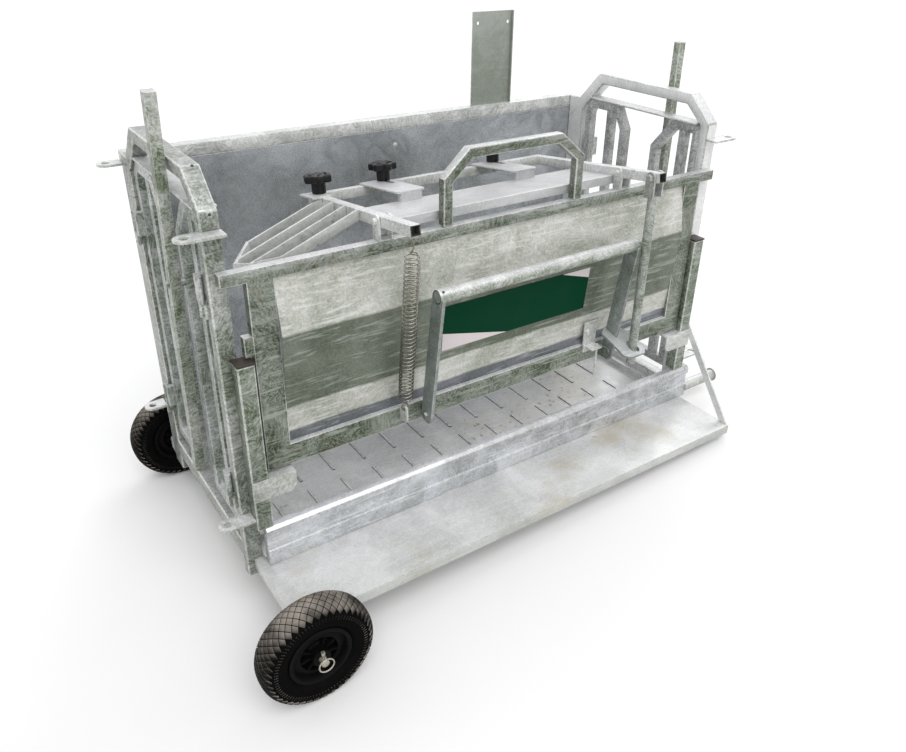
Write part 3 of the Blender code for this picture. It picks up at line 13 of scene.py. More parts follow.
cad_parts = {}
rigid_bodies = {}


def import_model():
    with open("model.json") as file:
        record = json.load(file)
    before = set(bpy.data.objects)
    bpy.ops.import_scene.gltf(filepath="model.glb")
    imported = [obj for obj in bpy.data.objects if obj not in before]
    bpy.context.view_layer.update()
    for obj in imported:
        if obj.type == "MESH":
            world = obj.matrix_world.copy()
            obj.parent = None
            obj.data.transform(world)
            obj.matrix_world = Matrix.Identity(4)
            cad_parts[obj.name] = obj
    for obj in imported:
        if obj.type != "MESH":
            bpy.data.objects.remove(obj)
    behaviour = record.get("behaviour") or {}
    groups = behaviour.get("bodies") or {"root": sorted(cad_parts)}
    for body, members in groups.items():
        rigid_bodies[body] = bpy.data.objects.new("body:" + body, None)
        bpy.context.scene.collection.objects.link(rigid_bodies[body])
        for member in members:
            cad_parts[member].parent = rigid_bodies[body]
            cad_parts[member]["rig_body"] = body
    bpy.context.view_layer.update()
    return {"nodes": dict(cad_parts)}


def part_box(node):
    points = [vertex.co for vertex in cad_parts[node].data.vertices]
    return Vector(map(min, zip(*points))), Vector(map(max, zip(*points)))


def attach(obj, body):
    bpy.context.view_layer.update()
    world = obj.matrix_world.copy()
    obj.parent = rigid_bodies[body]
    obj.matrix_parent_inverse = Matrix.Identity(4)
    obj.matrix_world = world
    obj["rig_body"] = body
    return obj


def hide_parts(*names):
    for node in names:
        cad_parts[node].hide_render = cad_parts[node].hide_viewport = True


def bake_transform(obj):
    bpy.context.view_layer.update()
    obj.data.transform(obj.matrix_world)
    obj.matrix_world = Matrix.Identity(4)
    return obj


bl_info = {
    "name": "Sheep turnover crate",
    "version": (1, 0, 0),
    "blender": (4, 5, 0),
    "location": "3D View > Sidebar > Crate",
    "description": "Galvanised handling crate with a squeeze cradle that tips outwards",
    "category": "Object",
}

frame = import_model()
NODES = frame["nodes"]

MERGE = 0.00002
FLAT = math.radians(0.4)
SHARP = math.radians(35)
SOFT = math.radians(40)

# Wheels
WHEEL_X = -0.725
WHEEL_Z = 0.036
WHEELS = (("front", -0.610, -1), ("rear", 0.380, 1))
TYRE_LOW, TYRE_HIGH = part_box("front_tyre")
WHEEL_RADIUS = (TYRE_HIGH.z - TYRE_LOW.z) / 2
TYRE_MIDDLE = WHEEL_RADIUS - 0.0340
CROWN_HIGH = 0.0302
BEAD_HIGH = TYRE_MIDDLE - 0.0700
TYRE_HALF = 0.0372
TYRE_SQUARENESS = 2.6
TYRE_POINTS = 76
TYRE_STEPS = 96
SIDE_RINGS = ((0.0850, 0.0011), (0.1075, 0.0007))
SIDE_RING_HALF = 0.0013
TREAD_ROW_GAP = 0.0105
TICK_SIZE = (0.0024, 0.0085, 0.0018)
TICK_ACROSS = 0.0500
RIM_STEPS = 72
RIM_RIB_SIZE = (0.0230, 0.0130, 0.0030)
RIM_RIB_PLACE = (0.0320, 0.0150)
RIM_HALF_PROFILE = (
    (0.0093, 0.0368),
    (0.0190, 0.0368),
    (0.0208, 0.0352),
    (0.0215, 0.0140),
    (0.0260, 0.0098),
    (0.0390, 0.0080),
    (0.0425, 0.0100),
    (0.0445, 0.0205),
    (0.0465, 0.0220),
    (0.0500, 0.0220),
    (0.0560, 0.0190),
    (0.0615, 0.0190),
    (0.0640, 0.0290),
    (0.0665, 0.0315),
    (0.0740, 0.0315),
    (0.0752, 0.0300),
    (0.0752, 0.0240),
)
PIN_Y = 0.0418
PIN_RADIUS = 0.0027
PIN_HEAD_RADIUS = 0.0048
PIN_RING_Y = 0.058
PIN_RING_RADIUS = 0.0172
PIN_RING_WIRE = 0.0018

# The clamp's own frame, at its pivot, and the knobs' seats in it
CLAMP_PIVOT = (0, -0.30505, 0.8587)
CLAMP_FRAME = Matrix.Translation(CLAMP_PIVOT) @ Matrix.Rotation(math.radians(-7.65), 4, "X")
KNOB_SEATS = (
    ("left_width_knob", -0.157, 0.350),
    ("right_width_knob", 0.205, 0.350),
    ("head_guard_knob", -0.3565, 0.325),
)
KNOB_SEAT_Z = 0.0181
KNOB_REACH = 0.0440
KNOB_HOLLOW = 0.66
KNOB_HEAD_HIGH = 0.0185
KNOB_HEAD_MIDDLE = 0.0375
KNOB_BOSS_RADIUS = 0.0180
KNOB_BOSS_HIGH = 0.0270
KNOB_STUD_RADIUS = 0.0059
KNOB_TURN = 0.35
CLAMP_ARMS = (-0.3565, 0.3785)
ARM_INSIDE = 0.0113
ARM_MOUTH_Y = -0.100

# Floor
FLOOR_TOP = 0.060
RIB_SIDE_TOP = 0.0626
RIB_TOP = 0.064
FLOOR_HALF = 0.685

# Spring
SPRING_TOP_ARM = (-0.3565, -0.133, -0.0125)
SPRING_FOOT = (-0.3285, -0.3398, 0.3805)
SPRING_RADIUS = 0.01675
SPRING_WIRE = 0.0020
SPRING_POINTS = 18
COILS_FROM_FOOT = 0.020
COILS_FROM_TOP = 0.040
HOOK_RADIUS = 0.0085
HOOK_POINTS = 15
HOOK_START = 60
HOOK_STEP = 23
TOP_RUN = 0.032
TOP_STEP = 0.008

# Small holes and dome bolts: body, place, direction
DRAIN_HOLES = (
    ("crate", (-0.7307, -0.2172, 1.0129), (0.0, -0.683, 0.730)),
    ("crate", (-0.7320, -0.2920, 0.9350), (0.0, -1.0, 0.0)),
    ("squeeze_lever", (-0.2600, -0.4055, 0.6995), (0.0, -0.58, 0.815)),
)
DOME_BOLTS = (("crate", (0.0276, 0.2999, 0.8450), (0.0, -1.0, 0.0)),)
HOLE_RADIUS = 0.0042
HOLE_RIM = 0.0007
HOLE_DEPTH = 0.0005
WASHER_RADIUS = 0.0085
WASHER_THICK = 0.0012
DOME_RADIUS = 0.0062
DOME_FOOT = 0.0008
DOME_FLATTENING = 0.72

# Squeeze lever tube, push rod and lift handle
LEVER_AXIS = (-0.3438, 0.335)
LEVER_SLOPE = math.radians(8.3)
LEVER_REACH = 0.354
LEVER_TUBE = (-0.2705, 0.362, 0.0176)
LEVER_TUBE_WALL = 0.003
TUBE_MOUTH_DEPTH = 0.03
ROD_Y = -0.4201
ROD_TOP = 0.800
ROD_RADIUS = 0.0126
HANDLE_RADIUS = 0.018

# Sign: the share of its width and height that each white corner takes
LOWER_CORNER = (0.43, 0.40)
UPPER_CORNER = (0.20, 0.23)

# Stage
WHEELS_BELOW_FEET = 0.0937
FEET_FROM_WHEELS = 1.4516
RIGHT_FEET_X = 0.7166
FLOOR_SIZE = 90
LAMPS = (
    ("main lamp", (-0.4, -2.4, 3.6), math.radians(50), 1.0),
    ("back lamp", (2.2, 1.2, 2.6), math.radians(40), 0.35),
)
LAMP_AIM = (0.0, -0.1, 0.5)
CAMERA_RIGHT = (0.827199, -0.561685, 0.015876)
CAMERA_DOWN = (-0.255732, -0.401475, -0.879442)
CAMERA_AHEAD = (0.500344, 0.723413, -0.475741)
CAMERA_PLACE = (-1.17716, -1.79305, 1.45295)
SENSOR = 36
PHOTO_WIDE = 906
PHOTO_HIGH = 752
FOCAL_PIXELS = 799.376
PRINCIPAL = (457.707, 348.901)


# Selecting and shaping


def only(piece):
    bpy.ops.object.select_all(action="DESELECT")
    piece.select_set(True)
    bpy.context.view_layer.objects.active = piece


def select_kind(kind):
    """In edit mode, turns to selecting verts, edges or faces, with none selected yet."""
    bpy.ops.mesh.select_mode(type=kind)
    bpy.ops.mesh.select_all(action="DESELECT")


def start_edit(piece, kind="VERT"):
    only(piece)
    bpy.ops.object.mode_set(mode="EDIT")
    select_kind(kind)


def end_edit():
    bpy.ops.object.mode_set(mode="OBJECT")


def select_where(piece, kind, test):
    """In edit mode, selects the verts, edges or faces that pass the test, and says how many there are."""
    shape = bmesh.from_edit_mesh(piece.data)
    shape.normal_update()
    found = [part for part in getattr(shape, kind) if test(part)]
    for part in found:
        part.select_set(True)
    shape.select_flush_mode()
    bmesh.update_edit_mesh(piece.data)
    return len(found)


def bevel_where(piece, test, offset, segments, **settings):
    """In edit mode, bevels the edges that pass the test."""
    select_kind("EDGE")
    select_where(piece, "edges", test)
    bpy.ops.mesh.bevel(offset=offset, segments=segments, affect="EDGES", **settings)


def linked(name, data):
    made = bpy.data.objects.new(name, data)
    bpy.context.scene.collection.objects.link(made)
    return made


def add_primitive(name, operator, **settings):
    bpy.ops.object.select_all(action="DESELECT")
    operator(**settings)
    piece = bpy.context.object
    piece.name = name
    bpy.ops.object.transform_apply(location=True, rotation=True, scale=True)
    return piece


def add_cylinder(name, sides, radius, depth, middle=0.0):
    """An upright cylinder on the z axis."""
    add = bpy.ops.mesh.primitive_cylinder_add
    return add_primitive(name, add, vertices=sides, radius=radius, depth=depth, location=(0, 0, middle))


def smoothed(piece, angle=SHARP):
    only(piece)
    bpy.ops.object.shade_smooth_by_angle(angle=angle)
    return piece


def moved(piece, matrix):
    piece.matrix_world = matrix
    only(piece)
    bpy.ops.object.transform_apply(location=True, rotation=True, scale=True)
    return piece


def standing(place, outward):
    """The matrix that moves a piece to a place and turns its z axis outwards."""
    return Matrix.Translation(place) @ Vector(outward).to_track_quat("Z", "Y").to_matrix().to_4x4()


def welded_together(pieces, name):
    """Joins the pieces into one object."""
    bpy.ops.object.select_all(action="DESELECT")
    for piece in pieces:
        piece.select_set(True)
    bpy.context.view_layer.objects.active = pieces[0]
    bpy.ops.object.join()
    pieces[0].name = name
    return pieces[0]


def measured(mesh):
    """Whether the mesh is closed, its volume and its two outer corners."""
    shape = bmesh.new()
    shape.from_mesh(mesh)
    closed = all(edge.is_manifold for edge in shape.edges)
    volume = shape.calc_volume()
    low, high = (Vector([most(v.co[axis] for v in shape.verts) for axis in range(3)]) for most in (min, max))
    shape.free()
    return closed, volume, low, high


def merged_copy(node):
    """A copy of a CAD node with its loose triangles merged into whole faces."""
    piece = linked(node + "_finished", NODES[node].data.copy())
    start_edit(piece)
    bpy.ops.mesh.select_all(action="SELECT")
    bpy.ops.mesh.remove_doubles(threshold=MERGE)
    bpy.ops.mesh.dissolve_degenerate(threshold=MERGE)
    bpy.ops.mesh.dissolve_limited(angle_limit=FLAT)
    bpy.ops.mesh.customdata_custom_splitnormals_clear()
    end_edit()
    return piece


def round_edges(piece, width, shortest, segments):
    """Rounds the long outer edges; a narrower rounding is tried where the shape has no room for it. The
    rounded faces take the piece's second material, a paler zinc that paints a highlight along each edge.
    """
    plain = piece.data.copy()
    closed, volume, low, high = measured(plain)
    for share in (1.0, 0.6, 0.3):
        start_edit(piece, "EDGE")
        chosen = select_where(
            piece,
            "edges",
            lambda edge: edge.is_manifold
            and edge.is_convex
            and edge.calc_face_angle() > math.radians(30)
            and edge.calc_length() > shortest,
        )
        if chosen:
            bpy.ops.mesh.bevel(
                offset_type="OFFSET",
                offset=width * share,
                segments=segments,
                profile=0.5,
                affect="EDGES",
                clamp_overlap=False,
                material=1,
            )
            bpy.ops.mesh.select_all(action="SELECT")
            bpy.ops.mesh.remove_doubles(threshold=MERGE / 4)
        end_edit()
        now_closed, now_volume, now_low, now_high = measured(piece.data)
        stays = (now_low - low).length < 0.0002 and (now_high - high).length < 0.0002
        if (now_closed or not closed) and stays and 0.8 < now_volume / volume < 1.0001:
            return share
        piece.data = plain.copy()
    return 0.0


def paint(piece, *finishes):
    """Starts a piece afresh with these materials, all of it in the first one."""
    piece.data.materials.clear()
    for finish in finishes:
        piece.data.materials.append(finish_named(finish))
    for face in piece.data.polygons:
        face.material_index = 0


def settle(piece, body, finishes=(), nodes=()):
    """Gives a finished piece its materials, its body and the CAD nodes it stands for."""
    if finishes:
        paint(piece, *finishes)
    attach(piece, body)
    if nodes:
        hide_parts(*nodes)


def body_of(node):
    return NODES[node]["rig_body"]


def dress(node, finish, width, shortest=0.018, segments=3, edge="bright edge zinc"):
    """Stands a merged copy with rounded edges in for a CAD node; the rounding takes the edge finish, a
    painted highlight.
    """
    piece = merged_copy(node)
    paint(piece, finish, edge)
    share = round_edges(piece, width, shortest, segments)
    if share < 1:
        print("rounding of", node, "kept to a share of", share)
    smoothed(piece)
    settle(piece, body_of(node), (), [node])
    return piece


# Nodes


def connect(tree, node, inputs):
    """Links each input to the socket given for it, or sets it to the number or colour."""
    for name, value in inputs.items():
        if isinstance(value, bpy.types.NodeSocket):
            tree.links.new(value, node.inputs[name])
        else:
            node.inputs[name].default_value = value
    return node


def add_node(tree, kind, inputs, **settings):
    made = tree.nodes.new(kind)
    for name, value in settings.items():
        setattr(made, name, value)
    return connect(tree, made, inputs)


def noise(tree, place, scale, detail, roughness=0.5, distortion=0.0):
    inputs = {"Vector": place, "Scale": scale, "Detail": detail, "Roughness": roughness}
    return add_node(tree, "ShaderNodeTexNoise", {**inputs, "Distortion": distortion}).outputs["Fac"]


def mixed(tree, share, first, second, blend="MIX"):
    """The colour that a Mix node makes of two colours."""
    inputs = {0: share, 6: first, 7: second}
    return add_node(tree, "ShaderNodeMix", inputs, data_type="RGBA", blend_type=blend).outputs[2]


def calculated(tree, operation, *values, clamped=False):
    settings = {"operation": operation, "use_clamp": clamped}
    return add_node(tree, "ShaderNodeMath", dict(enumerate(values)), **settings).outputs[0]


def ranged(tree, value, low, high, new_low=0.0, new_high=1.0):
    inputs = {"Value": value, "From Min": low, "From Max": high, "To Min": new_low, "To Max": new_high}
    return add_node(tree, "ShaderNodeMapRange", inputs).outputs[0]


def split(tree, vector):
    """The X, Y and Z of a vector."""
    return add_node(tree, "ShaderNodeSeparateXYZ", {"Vector": vector}).outputs


def cells(tree, place, scale):
    """An even random tone for each cell of a Voronoi pattern."""
    pattern = add_node(tree, "ShaderNodeTexVoronoi", {"Vector": place, "Scale": scale})
    return add_node(tree, "ShaderNodeSeparateColor", {"Color": pattern.outputs["Color"]}).outputs[0]


def bumped(tree, height, strength, distance):
    inputs = {"Height": height, "Strength": strength, "Distance": distance}
    return add_node(tree, "ShaderNodeBump", inputs).outputs["Normal"]


def new_group(name, inputs, outputs):
    """A node group: its tree, what its input node gives and its output node. An input of None is a vector."""
    tree = bpy.data.node_groups.new(name, "ShaderNodeTree")
    for socket_name, value in inputs.items():
        kind = "NodeSocketVector" if value is None else "NodeSocketFloat"
        socket = tree.interface.new_socket(socket_name, in_out="INPUT", socket_type=kind)
        if value is not None:
            socket.default_value = value
    for socket_name in outputs:
        tree.interface.new_socket(socket_name, in_out="OUTPUT", socket_type="NodeSocketFloat")
    return tree, tree.nodes.new("NodeGroupInput").outputs, tree.nodes.new("NodeGroupOutput")


def placed_group(tree, name, inputs):
    return add_node(tree, "ShaderNodeGroup", inputs, node_tree=bpy.data.node_groups[name]).outputs


def new_material(name):
    """A material, its tree and its Principled shader."""
    made = bpy.data.materials.new(name)
    made.use_nodes = True
    return made, made.node_tree, made.node_tree.nodes["Principled BSDF"]


def own_space(tree):
    """Where a point is and which way it looks, in the piece's own directions."""
    coords = tree.nodes.new("ShaderNodeTexCoord").outputs
    return coords["Object"], coords["Normal"]


def scaled(colour, share):
    return tuple(min(0.92, max(0.0, part * share)) for part in colour[:3]) + (1.0,)


# Node groups


def crystal_strokes(tree, place, scale):
    """Fine strokes that keep one direction inside each crystal and turn at its border."""
    wander = noise(tree, place, 30.0, 2.0).node.outputs["Color"]
    inputs = {0: wander, 1: (0.035, 0.035, 0.035), 2: place}
    bent = add_node(tree, "ShaderNodeVectorMath", inputs, operation="MULTIPLY_ADD").outputs["Vector"]
    angle = calculated(tree, "MULTIPLY", cells(tree, bent, scale), 6.283)
    inputs = {"Axis": (0.45, 0.75, 0.48), "Vector": place, "Angle": angle}
    turned = add_node(tree, "ShaderNodeVectorRotate", inputs, rotation_type="AXIS_ANGLE").outputs["Vector"]
    drawn = add_node(tree, "ShaderNodeMapping", {"Vector": turned, "Scale": (0.13, 1.0, 1.0)})
    return noise(tree, drawn.outputs["Vector"], 210.0, 3.0, 0.6)


def make_zinc_crystals():
    """Cloudy patches, feathery streaks and small crystals of a hot dip coating."""
    scales = {"Patch Scale": 11.0, "Feather Scale": 60.0, "Crystal Scale": 130.0, "Grit Scale": 480.0}
    inputs = {"Vector": None, **scales, "Stroke Scale": 15.0, "Stroke Depth": 1.0}
    tree, given, result = new_group("Zinc crystals", inputs, ("Mottle", "Crystal", "Height"))
    place = given["Vector"]
    patch = noise(tree, place, given["Patch Scale"], 4.0, 0.55, 0.8)
    feather = noise(tree, place, given["Feather Scale"], 7.0, 0.68, 2.2)
    tone = cells(tree, place, given["Crystal Scale"])
    grit = noise(tree, place, given["Grit Scale"], 4.0)
    strokes = crystal_strokes(tree, place, given["Stroke Scale"])
    stroked = calculated(
        tree, "MULTIPLY", ranged(tree, strokes, 0.40, 0.62, -0.14, 0.36), given["Stroke Depth"]
    )
    cloudy = ranged(tree, patch, 0.38, 0.62, -0.08, 0.36)
    feathery = ranged(tree, feather, 0.38, 0.62, -0.04, 0.24)
    speckled = ranged(tree, tone, 0.0, 1.0, -0.03, 0.10)
    gritty = ranged(tree, grit, 0.35, 0.65, -0.07, 0.22)
    coarse = calculated(tree, "ADD", calculated(tree, "ADD", cloudy, feathery), speckled)
    total = calculated(tree, "ADD", coarse, calculated(tree, "ADD", gritty, stroked), clamped=True)
    height = calculated(tree, "MULTIPLY_ADD", tone, 0.20, strokes)
    connect(tree, result, {"Mottle": total, "Crystal": tone, "Height": height})


def make_zinc_stains():
    """Pale runs of zinc, white bloom and small brown specks."""
    inputs = {"Vector": None, "Run Scale": 85.0, "Speck Scale": 55.0}
    tree, given, result = new_group("Zinc stains", inputs, ("Runs", "Bloom", "Specks"))
    place = given["Vector"]
    streaks = []
    for turn in ((0.5, 0.9, 0.3), (-0.4, -0.6, 0.8)):
        inputs = {"Vector": place, "Rotation": turn, "Scale": (0.10, 1.0, 1.0)}
        laid = add_node(tree, "ShaderNodeMapping", inputs).outputs["Vector"]
        streaks.append(ranged(tree, noise(tree, laid, given["Run Scale"], 4.0, 0.6, 0.5), 0.57, 0.68))
    bloom = ranged(tree, noise(tree, place, 5.0, 5.0, 0.6), 0.50, 0.74)
    fine = ranged(tree, noise(tree, place, given["Speck Scale"], 2.0), 0.62, 0.72)
    where = ranged(tree, noise(tree, place, 3.4, 2.0), 0.54, 0.64)
    specks = calculated(tree, "MULTIPLY", fine, where)
    runs = calculated(tree, "MAXIMUM", *streaks)
    connect(tree, result, {"Runs": runs, "Bloom": bloom, "Specks": specks})


def make_painted_face_light():
    """How far a face looks up, for painted light on upper faces, and how far it looks to the front or down,
    for painted shade, in the piece's own directions.
    """
    tree, given, result = new_group("Weathered faces", {"Normal": None}, ("Up", "Shaded"))
    looks = split(tree, given["Normal"])
    front = ranged(tree, looks["Y"], -0.1, -0.8)
    under = ranged(tree, looks["Z"], 0.0, -0.6)
    shaded = calculated(tree, "MAXIMUM", front, under)
    connect(tree, result, {"Up": ranged(tree, looks["Z"], 0.1, 0.8), "Shaded": shaded})


def make_moulded_grain():
    """Fine grain, scuffs and settled dust for rubber and plastic."""
    inputs = {"Vector": None, "Normal": None, "Grain Scale": 900.0}
    tree, given, result = new_group("Moulded grain", inputs, ("Grain", "Scuffs", "Dust"))
    place = given["Vector"]
    grain = noise(tree, place, given["Grain Scale"], 3.0)
    scuffs = ranged(tree, noise(tree, place, 42.0, 6.0, 0.7), 0.45, 0.68)
    up = ranged(tree, split(tree, given["Normal"])["Z"], 0.30, 1.0)
    drift = ranged(tree, noise(tree, place, 17.0, 5.0), 0.3, 0.6)
    dust = calculated(tree, "MULTIPLY", up, drift)
    connect(tree, result, {"Grain": grain, "Scuffs": scuffs, "Dust": dust})


# Materials


def make_zinc(name, colour, look):
    """A galvanised finish: crystals, runs, bloom, a few brown specks, paler upper faces as painted light and
    darker front and under faces as painted shade.
    """
    made, tree, shader = new_material(name)
    place, normal = own_space(tree)
    scales = ("patch", "feather", "crystal", "grit", "stroke")
    inputs = {scale.title() + " Scale": look[scale] for scale in scales}
    crystals = placed_group(
        tree, "Zinc crystals", {"Vector": place, **inputs, "Stroke Depth": look["strokes"]}
    )
    stains = placed_group(tree, "Zinc stains", {"Vector": place})
    faces = placed_group(tree, "Weathered faces", {"Normal": normal})
    spread, green, shade, rough = (look[key] for key in ("spread", "green", "shade", "rough"))
    # The darker end of the mottle is tinted green by the share green: a painted reflection of grass.
    grass_reflection_tone = (colour[0] * (1 - green), colour[1] * (1 + green * 0.15), colour[2] * (1 - 1.9 * green))
    pale = scaled(colour, 1 + spread * 0.85)
    tone = mixed(tree, crystals["Mottle"], scaled(grass_reflection_tone, 1 - spread), pale)
    # The pale tone laid on upper faces by the share lift: painted light from above.
    top_light_tone = mixed(tree, crystals["Mottle"], (0.58, 0.58, 0.60, 1), (0.88, 0.88, 0.90, 1))
    for mask, share, over in (
        (stains["Runs"], look["runs"], scaled(colour, 1.9)),
        (stains["Bloom"], look["bloom"], scaled(colour, 1.5)),
        (stains["Specks"], look["specks"], (0.23, 0.17, 0.10, 1.0)),
        (faces["Up"], look["lift"], top_light_tone),
    ):
        tone = mixed(tree, calculated(tree, "MULTIPLY", mask, share), tone, over)
    # Front and under faces are darkened by the share shade, a little greener: painted shade with a painted
    # reflection of grass.
    darker = (1 - shade * 1.06, 1 - shade, 1 - shade * 1.12, 1)
    front = mixed(tree, faces["Shaded"], (1, 1, 1, 1), darker)
    tone = mixed(tree, 1.0, tone, front, "MULTIPLY")
    # Bands of painted reflection and painted shade, where the look lists them.
    for band in look["bands"]:
        tone = banded(tree, place, tone, *band)
    if look["scratches"]:
        share = calculated(tree, "MULTIPLY", stains["Runs"], look["scratches"])
        tone = mixed(tree, share, tone, (0.62, 0.63, 0.60, 1))
    if look["mud"]:
        tone = muddied(tree, place, tone, look["mud"])
    glints = ranged(tree, crystals["Crystal"], 0.0, 1.0, rough - 0.07, rough + 0.09)
    grain = bumped(tree, crystals["Height"], look["bump"], 0.0008)
    inputs = {"Base Color": tone, "Roughness": glints, "Metallic": look["metallic"], "Normal": grain}
    connect(tree, shader, inputs)
    return made


def banded(tree, place, tone, low, high, tint):
    """A band of another tone between two heights, with a soft uneven border; on the cradle sheet it paints
    reflection and shade.
    """
    drift = noise(tree, place, 7.0, 4.0)
    height = calculated(tree, "MULTIPLY_ADD", drift, 0.012, split(tree, place)["Z"])
    above = ranged(tree, height, low + 0.003, low + 0.009)
    below = ranged(tree, height, high + 0.009, high + 0.003)
    shade = mixed(tree, calculated(tree, "MULTIPLY", above, below), (1, 1, 1, 1), (*tint, 1))
    return mixed(tree, 1.0, tone, shade, "MULTIPLY")


def muddied(tree, place, tone, share):
    """Yellow brown smears of dried mud and rust."""
    where = ranged(tree, noise(tree, place, 3.1, 6.0, 0.62), 0.52, 0.70)
    return mixed(tree, calculated(tree, "MULTIPLY", where, share), tone, (0.50, 0.43, 0.29, 1))


def make_moulded(name, colour, look):
    """Black plastic or rubber with grain, scuffs and some dust."""
    made, tree, shader = new_material(name)
    place, normal = own_space(tree)
    inputs = {"Vector": place, "Normal": normal, "Grain Scale": look["grain"]}
    grain = placed_group(tree, "Moulded grain", inputs)
    scuff_share = calculated(tree, "MULTIPLY", grain["Scuffs"], 0.4)
    tone = mixed(tree, scuff_share, colour, scaled(colour, 2.4))
    dust_share = calculated(tree, "MULTIPLY", grain["Dust"], look["dust"])
    tone = mixed(tree, dust_share, tone, look["dust_colour"])
    rough = ranged(tree, grain["Scuffs"], 0.0, 1.0, look["rough"] - 0.05, look["rough"] + 0.15)
    shader.inputs["Specular IOR Level"].default_value = look["specular"]
    normal = bumped(tree, grain["Grain"], 0.25, 0.0005)
    connect(tree, shader, {"Base Color": tone, "Roughness": rough, "Normal": normal})
    return made


def make_paint(name, colour, look):
    """Printed enamel on a thin sheet: nearly even, with faint mottling and a soft gloss."""
    made, tree, shader = new_material(name)
    place, _ = own_space(tree)
    haze = noise(tree, place, 24.0, 5.0)
    peel = noise(tree, place, 420.0, 2.0)
    share = ranged(tree, haze, 0.3, 0.7, 0.0, look["haze"])
    tone = mixed(tree, share, colour, scaled(colour, look["faded"]))
    rough = ranged(tree, haze, 0.3, 0.7, 0.45, 0.60)
    shader.inputs["Specular IOR Level"].default_value = 0.06
    normal = bumped(tree, peel, 0.08, 0.0004)
    connect(tree, shader, {"Base Color": tone, "Roughness": rough, "Normal": normal})
    return made


ZINC_LOOK = {
    "patch": 11.0,
    "feather": 60.0,
    "crystal": 130.0,
    "grit": 480.0,
    "stroke": 15.0,
    "strokes": 1.0,
    "spread": 0.55,
    # green tints the darker mottle as a painted reflection of grass.
    "green": 0.12,
    "runs": 0.40,
    "bloom": 0.25,
    "specks": 0.5,
    # lift is the share of painted light on upper faces; shade is the painted shade on front and under faces.
    "lift": 0.4,
    "shade": 0.20,
    "bands": (),
    "scratches": 0.0,
    "mud": 0.0,
    "rough": 0.42,
    "metallic": 0.35,
    "bump": 0.35,
}
MOULDED_LOOK = {
    "grain": 900.0,
    "dust": 0.15,
    "dust_colour": (0.22, 0.19, 0.16, 1),
    "rough": 0.5,
    "specular": 0.4,
}


def zinc(colour, **look):
    return make_zinc, colour, {**ZINC_LOOK, **look}


def moulded(colour, **look):
    return make_moulded, (*colour, 1), {**MOULDED_LOOK, **look}


def enamel(colour, haze, faded=1.35):
    return make_paint, (*colour, 1), {"haze": haze, "faded": faded}


